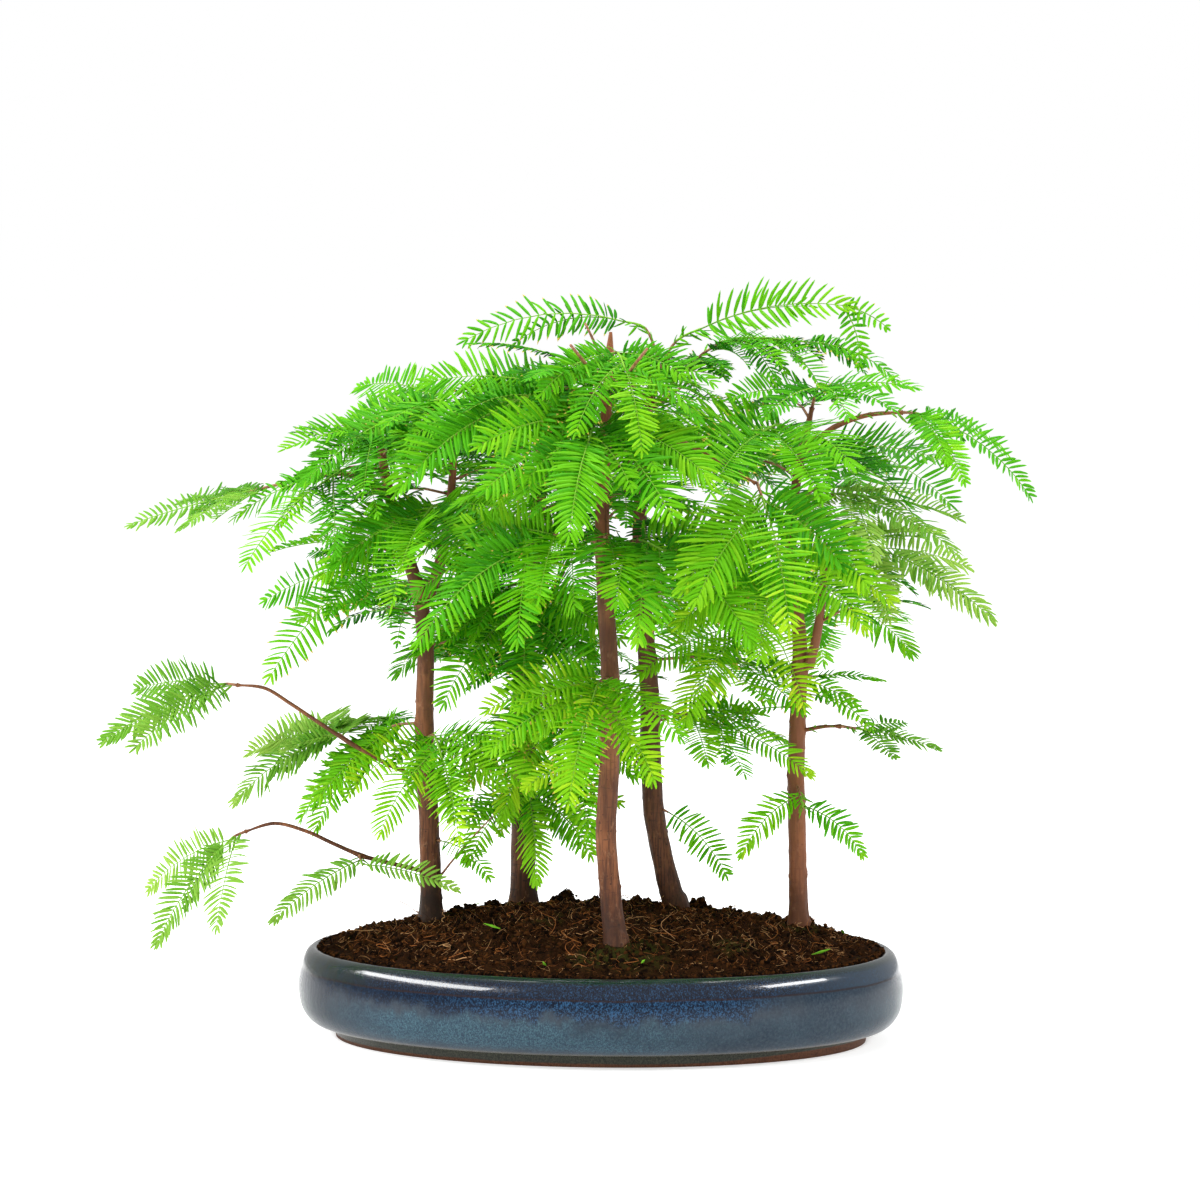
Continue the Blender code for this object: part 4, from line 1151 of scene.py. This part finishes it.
class Foliage:
    """Needles dealt out to the greens, with the midribs and twigs that carry them."""

    def __init__(self, limbs):
        self.limbs = limbs
        self.greens = {finish[0]: [] for finish in GREENS + PALE_GREENS}
        self.ribs = Bundle()
        self.twigs = Bundle()

    def room(self, spray):
        """True where a spray's midrib keeps clear of the limbs, the soil and the pot."""
        line = np.array([along(spray, share)[0] for share in (0.3, 0.5, 0.7, 0.85, 1)])
        return bool(self.limbs.clear(line, 0.001).all() and inside(line).all())

    def needle(self, tone, scale, base, heading, normal, toward, length, width, bend=(0.1, 0.1), dry=0):
        """One needle; TOWARD is the side that it hooks to, BEND its hook and its droop, DRY 1 for a tan tip."""
        green = scale[min(max(int(tone), 0), len(scale) - 1)][0]
        self.greens[green].append((*base, *heading, *normal, *toward, length, width, *bend, dry))

    def frond(self, spray, tone, scale, chance, gap):
        """One spray: two rows of needles along a thin midrib."""
        half = spray.length * spray.width / 2
        first = BARE_STALK * 0.55
        pairs = round(spray.length * (1 - first) / (gap * MM))
        fold = chance.choice((0, 0.05, 0.12, 0.2, 0.45))
        lean_first = chance.uniform(62, 82)
        tilt = chance.gauss(0, 8)
        hook, droop = chance.uniform(*NEEDLE_HOOK), chance.uniform(*NEEDLE_DROOP)
        fresh = chance.choice((0, 0.2, 0.5, 1.2))
        dry_share = chance.choice((0, 0, 0, 0.05, 0.7)) if scale is GREENS else 0
        for index in range(pairs):
            share = first + (1 - first) * (index + 0.55) / pairs
            place, ahead, normal = along(spray, share)
            for side in (1, -1):
                lean = math.radians(lean_first - 8 * share - 30 * share ** 4 + chance.gauss(0, 4))
                across = ahead.cross(normal) * side
                rise = fold + chance.gauss(0, 0.07)
                heading = (ahead * math.cos(lean) + across * math.sin(lean) + normal * rise).normalized()
                twist = Matrix.Rotation(math.radians(tilt * side + chance.gauss(0, 16)), 3, heading)
                top = twist @ square_to(normal, heading)
                toward = square_to(square_to(ahead, heading), top)
                length = half * needle_reach(share) * chance.uniform(0.84, 1.1)
                # Needles grow paler toward a young tip and darker toward the spray's base; the darkening is painted
                # shade of the crown's inside.
                young = tone + fresh * max(0, share - 0.6) / 0.4 - 2.6 * max(0, 0.36 - share) + chance.uniform(-0.5, 0.5)
                width = NEEDLE_WIDTH * MM * chance.uniform(0.85, 1.1)
                bend = hook + chance.gauss(0, 0.04), droop + chance.gauss(0, 0.05)
                dry = int(chance.random() < dry_share)
                self.needle(young, scale, place, heading, top, toward, length, width, bend, dry)
        place, ahead, normal = along(spray, 1)
        toward = square_to(ahead.cross(normal), ahead)
        self.needle(tone + fresh, scale, place, ahead, normal, toward, half * 0.36, 0.0016)
        line = [along(spray, share)[0] for share in (0, 0.17, 0.34, 0.5, 0.67, 0.84, 1)]
        radii = [RIB_RADIUS * MM * (1 - 0.55 * step / 6) for step in range(7)]
        self.ribs.add(line, radii)

    def leafy(self, line, tone, scale, chance, first, length):
        """Short needles straight on a young twig, on both sides of its outer part."""
        lengths = measured(line)
        distance = first * lengths[-1]
        while distance < lengths[-1]:
            index, share = found(lengths, distance)
            ahead = (line[index + 1] - line[index]).normalized()
            place = line[index].lerp(line[index + 1], share)
            level = square_to(Vector((0, 0, 1)), ahead)
            for side in (1, -1):
                turn = Matrix.Rotation(chance.gauss(0.3, 0.45) * side, 3, ahead)
                across = turn @ (ahead.cross(level) * side)
                lean = math.radians(chance.uniform(48, 76))
                heading = ahead * math.cos(lean) + across * math.sin(lean)
                top = square_to(turn @ level, heading)
                toward = square_to(square_to(ahead, heading), top)
                reach = length * MM * chance.uniform(0.65, 1.1)
                self.needle(
                    tone + chance.uniform(-0.7, 0.9), scale, place, heading, top, toward, reach, NEEDLE_WIDTH * 0.8 * MM,
                )
            distance += chance.uniform(2.6, 4.2) * MM

    def finish(self, ribs, twigs, nodes):
        """Make the pieces: one of needles for each green, one of midribs and one of twigs."""
        tan = plain("tan_tips", (0.5, 0.42, 0.06), 0.5, 0.2)
        for scale in (GREENS, PALE_GREENS):
            for index, (name, colour) in enumerate(scale):
                after = scale[min(index + 1, len(scale) - 1)][1]
                lighter = tuple((own + other) / 2 for own, other in zip(colour, after))
                finishes = [plain(name, colour, 0.5, 0.32), plain(name + "_tips", lighter, 0.5, 0.32), tan]
                rows = self.greens[name]
                for number, start in enumerate(range(0, len(rows), NEEDLES_PER_PIECE), 1):
                    label = f"needles_{name}_{number}"
                    self.make_needles(label, finishes, np.array(rows[start:start + NEEDLES_PER_PIECE]), nodes)
        dress(from_arrays("green_midribs", self.ribs.points, self.ribs.faces, True), ribs, nodes)
        dress(from_arrays("young_twigs", self.twigs.points, self.twigs.faces, True), twigs, nodes)

    def make_needles(self, name, finishes, rows, nodes):
        """One piece of needles of a green, without those that would touch a limb."""
        base, heading, normal, toward = (rows[:, 3 * part:3 * part + 3] for part in range(4))
        length, width, hook, droop, dry = (rows[:, column, None] for column in range(12, 17))
        middle, tip = base + heading * length * 0.5, base + heading * length
        keep = self.limbs.clear(middle, 0.0012) & self.limbs.clear(tip, 0.0008) & inside(tip) & inside(middle)
        base, heading, normal, toward, length, width, hook, droop, dry = (
            part[keep] for part in (base, heading, normal, toward, length, width, hook, droop, dry)
        )
        handed = np.einsum("ij,ij->i", np.cross(heading, toward), normal) > 0
        shape = NEEDLE_POINTS
        reach = shape[None, :, 0, None] * length[:, None]
        curve = (shape[None, :, 0, None] ** 2) * length[:, None]
        corners = (
            base[:, None] + heading[:, None] * reach
            + toward[:, None] * (shape[None, :, 1, None] * width[:, None] + hook[:, None] * curve)
            + normal[:, None] * (shape[None, :, 2, None] * width[:, None] - droop[:, None] * curve)
        )
        faces = []
        for index, right in enumerate(handed):
            start = index * len(shape)
            for face in NEEDLE_FACES:
                corner = face if right else face[::-1]
                faces.append(tuple(start + item for item in corner))
        piece = from_arrays(name, corners.reshape(-1, 3), faces)
        dress(piece, finishes, nodes)
        at_tip = np.array([[NEEDLE_TIP in face for face in NEEDLE_FACES]]) * (1 + dry)
        piece.data.polygons.foreach_set("material_index", at_tip.ravel().astype(np.int32))


def inside(points):
    """Which of some points lie within the object's reach and clear of its soil and pot."""
    low, high = (np.array(corner) for corner in CAD_BOX)
    spare = 0.02 * (high - low) + 0.006
    free = ((points > low - spare) & (points < high + spare)).all(axis=1)
    across = (points[:, 0] / (POT_HALF_LENGTH * MM + 0.003)) ** 2 + (points[:, 1] / (POT_HALF_WIDTH * MM + 0.003)) ** 2
    dome = SOIL_EDGE * MM + SOIL_RISE * MM * np.clip(1 - across, 0, 1) ** SOIL_POWER + 0.005
    free &= (across > 1) | (points[:, 2] > dome)
    return free


def grow(ways):
    """Foliage that grows on from the limbs by the solids' rule, carried to finer sprays."""
    foliage = Foliage(Limbs([ways[item.name] for item in (*TRUNKS, *LIMBS)]))
    for seed, mass in enumerate(MASSES):
        way = ways[mass.name]
        chance = random.Random(seed + 77)
        steady = random.Random(seed + 500)
        pale = mass.name in PALE_TONES
        scale = PALE_GREENS if pale else GREENS
        tone = PALE_TONES[mass.name] + 0.3 if pale else TONES.get(mass.name, USUAL_TONE)
        line = curved(way.rings)
        root = line[0] - (line[1] - line[0]).normalized() * 0.0016
        line = [root, *line[::3]]
        radii = [STEM_RADIUS * 0.72 * MM * (1 - 0.5 * step / len(line)) for step in range(len(line))]
        green = len(line) // 2
        foliage.twigs.add(line[:green + 1], radii[:green + 1], 6)
        foliage.ribs.add(line[green:], radii[green:], 6)
        first = 0.06 if mass.name in LOOSE else 0.25
        foliage.leafy(line, tone, scale, chance, first, mass.length * mass.width * 0.32)
        for spray in sprays(mass, way, mass.sprays, seed):
            gap = LOOSE.get(mass.name) or chance.uniform(*NEEDLE_GAP)
            place_spray(foliage, spray, tone + chance.uniform(-1, 0.9), scale, chance, steady, gap)
        side = SIDE_SPRAYS.get(mass.name)
        counts = (mass.sprays + 1, mass.sprays) if side is None else (side,) if side else ()
        for layer, count in enumerate(counts):
            turned = mass._replace(face=mass.face + chance.uniform(-18, 6) + 12 * layer)
            for spray in sprays(turned, way, count, seed + 900 + 50 * layer):
                short = spray._replace(
                    length=spray.length * chance.uniform(0.45, 0.85), width=spray.width * chance.uniform(0.85, 1.2),
                )
                gap = LOOSE.get(mass.name) or chance.uniform(*NEEDLE_GAP)
                place_spray(foliage, short, tone - 0.4 + chance.uniform(-1.2, 0.8), scale, chance, steady, gap)
        for fall, length, sag, width in TIP_SPRAYS.get(mass.name, ()):
            place, ahead, normal = along(next(sprays(mass, way, mass.sprays, seed)), 0.97)
            heading = Matrix.Rotation(math.radians(fall), 3, "Y") @ ahead
            spray = Spray(place, heading, square_to(normal, heading), length * MM, sag, width)
            place_spray(foliage, spray, tone, scale, chance, steady, NEEDLE_GAP[1])
    for number, (name, low, high, count, length) in enumerate(SHOOTS):
        grow_shoots(foliage, ways[name], low, high, count, length, 300 + number)
    chance = random.Random(61)
    for name, leaves, heading, length, face, sag, width, tone in FRONDS:
        place, _, girth = ways[name].at(leaves)
        heading = Vector(heading).normalized()
        away = Vector((heading.x, heading.y, 0)).normalized()
        start = place + away * girth * 0.8
        base = start + heading * 0.1 * length * MM
        foliage.twigs.add([start, start.lerp(base, 0.5), base], [0.0009, 0.0008, 0.0007], 5)
        turned = math.radians(face)
        normal = square_to(Vector((0, 0, math.cos(turned))) + Vector((0.1, -1, 0)) * math.sin(turned), heading)
        spray = Spray(base, heading, normal, length * MM, sag, width)
        place_spray(foliage, spray, tone, GREENS, chance, chance, chance.uniform(*NEEDLE_GAP))
    for name, (first, length) in LEAFY_BOUGHS.items():
        foliage.leafy(curved(ways[name].rings), 1.6, PALE_GREENS, random.Random(41), first, length)
    for name, leaves, heading, length, radius in BARE_TWIGS:
        place, _, girth = ways[name].at(leaves)
        heading = Vector(heading).normalized()
        away = Vector((heading.x, heading.y, 0)).normalized()
        start = place + away * girth * 0.7
        line = [start + heading * length * MM * step / 4 + away * 0.1 * length * MM * (step / 4) ** 2 for step in range(5)]
        foliage.twigs.add(line, [radius * MM * (1 - 0.12 * step) for step in range(5)], 6)
    return foliage


def grow_shoots(foliage, way, low, high, count, length, seed):
    """Short shoots round a trunk or leader, each a twig with three sprays."""
    chance = random.Random(seed)
    for index in range(count):
        leaves = low + (high - low) * (index + chance.random()) / count
        turn = index * 2.4 + chance.uniform(-0.4, 0.4)
        away = Vector((math.cos(turn), math.sin(turn), chance.uniform(0.05, 0.5))).normalized()
        place, _, girth = way.at(leaves)
        start = place + away * girth * 0.8
        reach = chance.uniform(14, 30) * MM
        middle = start + away * reach * 0.5 + Vector((0, 0, 2 * MM))
        tip = start + away * reach + Vector((0, 0, 1 * MM))
        foliage.twigs.add([start, middle, tip], [0.0009, 0.0008, 0.0006], 5)
        tone = USUAL_TONE + chance.uniform(-2.0, 0.2)
        for side in (-1, 0, 1):
            spread = Matrix.Rotation(math.radians(side * chance.uniform(38, 62)), 3, "Z")
            heading = (spread @ away + Vector((0, 0, chance.uniform(-0.35, 0.1)))).normalized()
            face = math.radians(chance.uniform(-5, 35))
            normal = square_to(Vector((0, 0, math.cos(face))) + away * math.sin(face), heading)
            size = length * MM * chance.uniform(0.75, 1.1) * (1 if side == 0 else 0.85)
            base = tip if side == 0 else middle
            spray = Spray(base, heading, normal, size, chance.uniform(22, 55), chance.uniform(0.42, 0.56))
            gap = chance.uniform(*NEEDLE_GAP)
            place_spray(foliage, spray, tone + chance.uniform(-0.5, 0.5), GREENS, chance, chance, gap)


def place_spray(foliage, spray, tone, scale, chance, steady, gap):
    """Grow a spray where it has room, turned a little if need be, or leave it out."""
    for step in range(8):
        trial = varied(spray, steady, step)
        if foliage.room(trial):
            foliage.frond(trial, tone, scale, chance, gap)
            return


def loose_needles(finish):
    """A few fallen needles on the soil."""
    chance = random.Random(5)
    bundle = Bundle()
    for x, y in FALLEN:
        start = surface(x, y) + Vector((0, 0, 0.6 * MM))
        turn = chance.uniform(0, math.tau)
        heading = Vector((math.cos(turn), math.sin(turn), 0.35))
        bundle.add([start, start + heading * 0.006, start + heading * 0.012], [0.0003, 0.0009, 0.0002])
    dress(from_arrays("fallen_needles", bundle.points, bundle.faces), finish)


def softbox(name, place, aim, size, power):
    """A large soft light that looks at a point."""
    turn = (Vector(aim) - Vector(place)).to_track_quat("-Z", "Y").to_euler()
    bpy.ops.object.light_add(type="AREA", location=place, rotation=turn)
    lamp = bpy.context.object
    lamp.name = name
    lamp.data.shape = "RECTANGLE"
    lamp.data.size, lamp.data.size_y = size
    lamp.data.energy = power


def studio():
    """White floor and world, three softboxes, and the camera at the photo's angle."""
    deselect()
    bpy.ops.mesh.primitive_plane_add(size=60)
    floor = bpy.context.object
    floor.name = "white_floor"
    floor.data.materials.append(white_ground())
    world = bpy.data.worlds.new("white_world")
    world.use_nodes = True
    nodes, links = world.node_tree.nodes, world.node_tree.links
    soft = nodes["Background"]
    soft.inputs["Color"].default_value = (1, 1, 1, 1)
    soft.inputs["Strength"].default_value = 0.55
    white = nodes.new("ShaderNodeBackground")
    white.inputs["Color"].default_value = (1, 1, 1, 1)
    seen = nodes.new("ShaderNodeLightPath")
    blend = nodes.new("ShaderNodeMixShader")
    links.new(seen.outputs["Is Camera Ray"], blend.inputs[0])
    links.new(soft.outputs[0], blend.inputs[1])
    links.new(white.outputs[0], blend.inputs[2])
    links.new(blend.outputs[0], nodes["World Output"].inputs["Surface"])
    bpy.context.scene.world = world
    aim = (0, 0, 0.22)
    softbox("left_softbox", (-2.08, -0.98, 1.6), aim, (2.7, 0.48), 78)
    softbox("right_softbox", (2.08, -0.7, 1.6), aim, (1.3, 0.34), 34)
    softbox("top_softbox", (0, 0.2, 2.3), aim, (1.6, 1.2), 44)
    place = Vector((0.32169, -2.96603, 0.52588))
    turn = (Vector((0, 0, 0.2603)) - place).to_track_quat("-Z", "Y").to_euler()
    bpy.ops.object.camera_add(location=place, rotation=turn)
    camera = bpy.context.object
    camera.data.sensor_width = 36
    camera.data.lens = 152.27
    camera.data.clip_end = 60
    bpy.context.scene.camera = camera
    bpy.context.scene.view_settings.view_transform = "Standard"


def main():
    ways = {}
    for trunk in TRUNKS:
        ways[trunk.name] = trunk_way(trunk)
        FEET[trunk.name] = foot_height(trunk)
    for limb in LIMBS:
        ways[limb.name] = limb_way(limb, ways[limb.on])
    for mass in MASSES:
        ways[mass.name] = stem_way(mass, ways[mass.on])

    make_pot(blue_glaze())
    make_soil(peat("damp_peat", 1, moss=True))
    make_crumbs((
        ("peat_crumbs", peat("peat_crumb", 1.1)),
        ("dark_crumbs", plain("dark_crumb", (0.006, 0.0026, 0.0012), 0.95)),
        ("rusty_crumbs", plain("rusty_crumb", (0.055, 0.02, 0.0055), 0.95)),
    ))
    make_fibres((
        ("rusty_fibres", plain("rusty_fibre", (0.3, 0.105, 0.03), 0.8)),
        ("brown_fibres", plain("brown_fibre", (0.12, 0.042, 0.012), 0.8)),
        ("tan_fibres", plain("tan_fibre", (0.5, 0.27, 0.12), 0.8)),
        ("dark_fibres", plain("dark_fibre", (0.03, 0.012, 0.005), 0.8)),
    ))
    redwood = bark()
    for item in (*TRUNKS, *LIMBS):
        joints = [
            (ways[other.name].rings[0], other.base if hasattr(other, "base") else STEM_RADIUS)
            for other in (*LIMBS, *MASSES) if other.on == item.name
        ]
        thick = item in TRUNKS
        bark_skin(item.name + "_bark", ways[item.name], redwood, 44 if thick else 20, joints, foot=thick)
    foliage = grow(ways)
    foliage.finish(plain("green_midrib", (0.2, 0.42, 0.04), 0.5), twig_bark(), [mass.name for mass in MASSES])
    loose_needles(plain("fallen_green", (0.2, 0.55, 0.03), 0.5))
    studio()


FEET = {}
main()
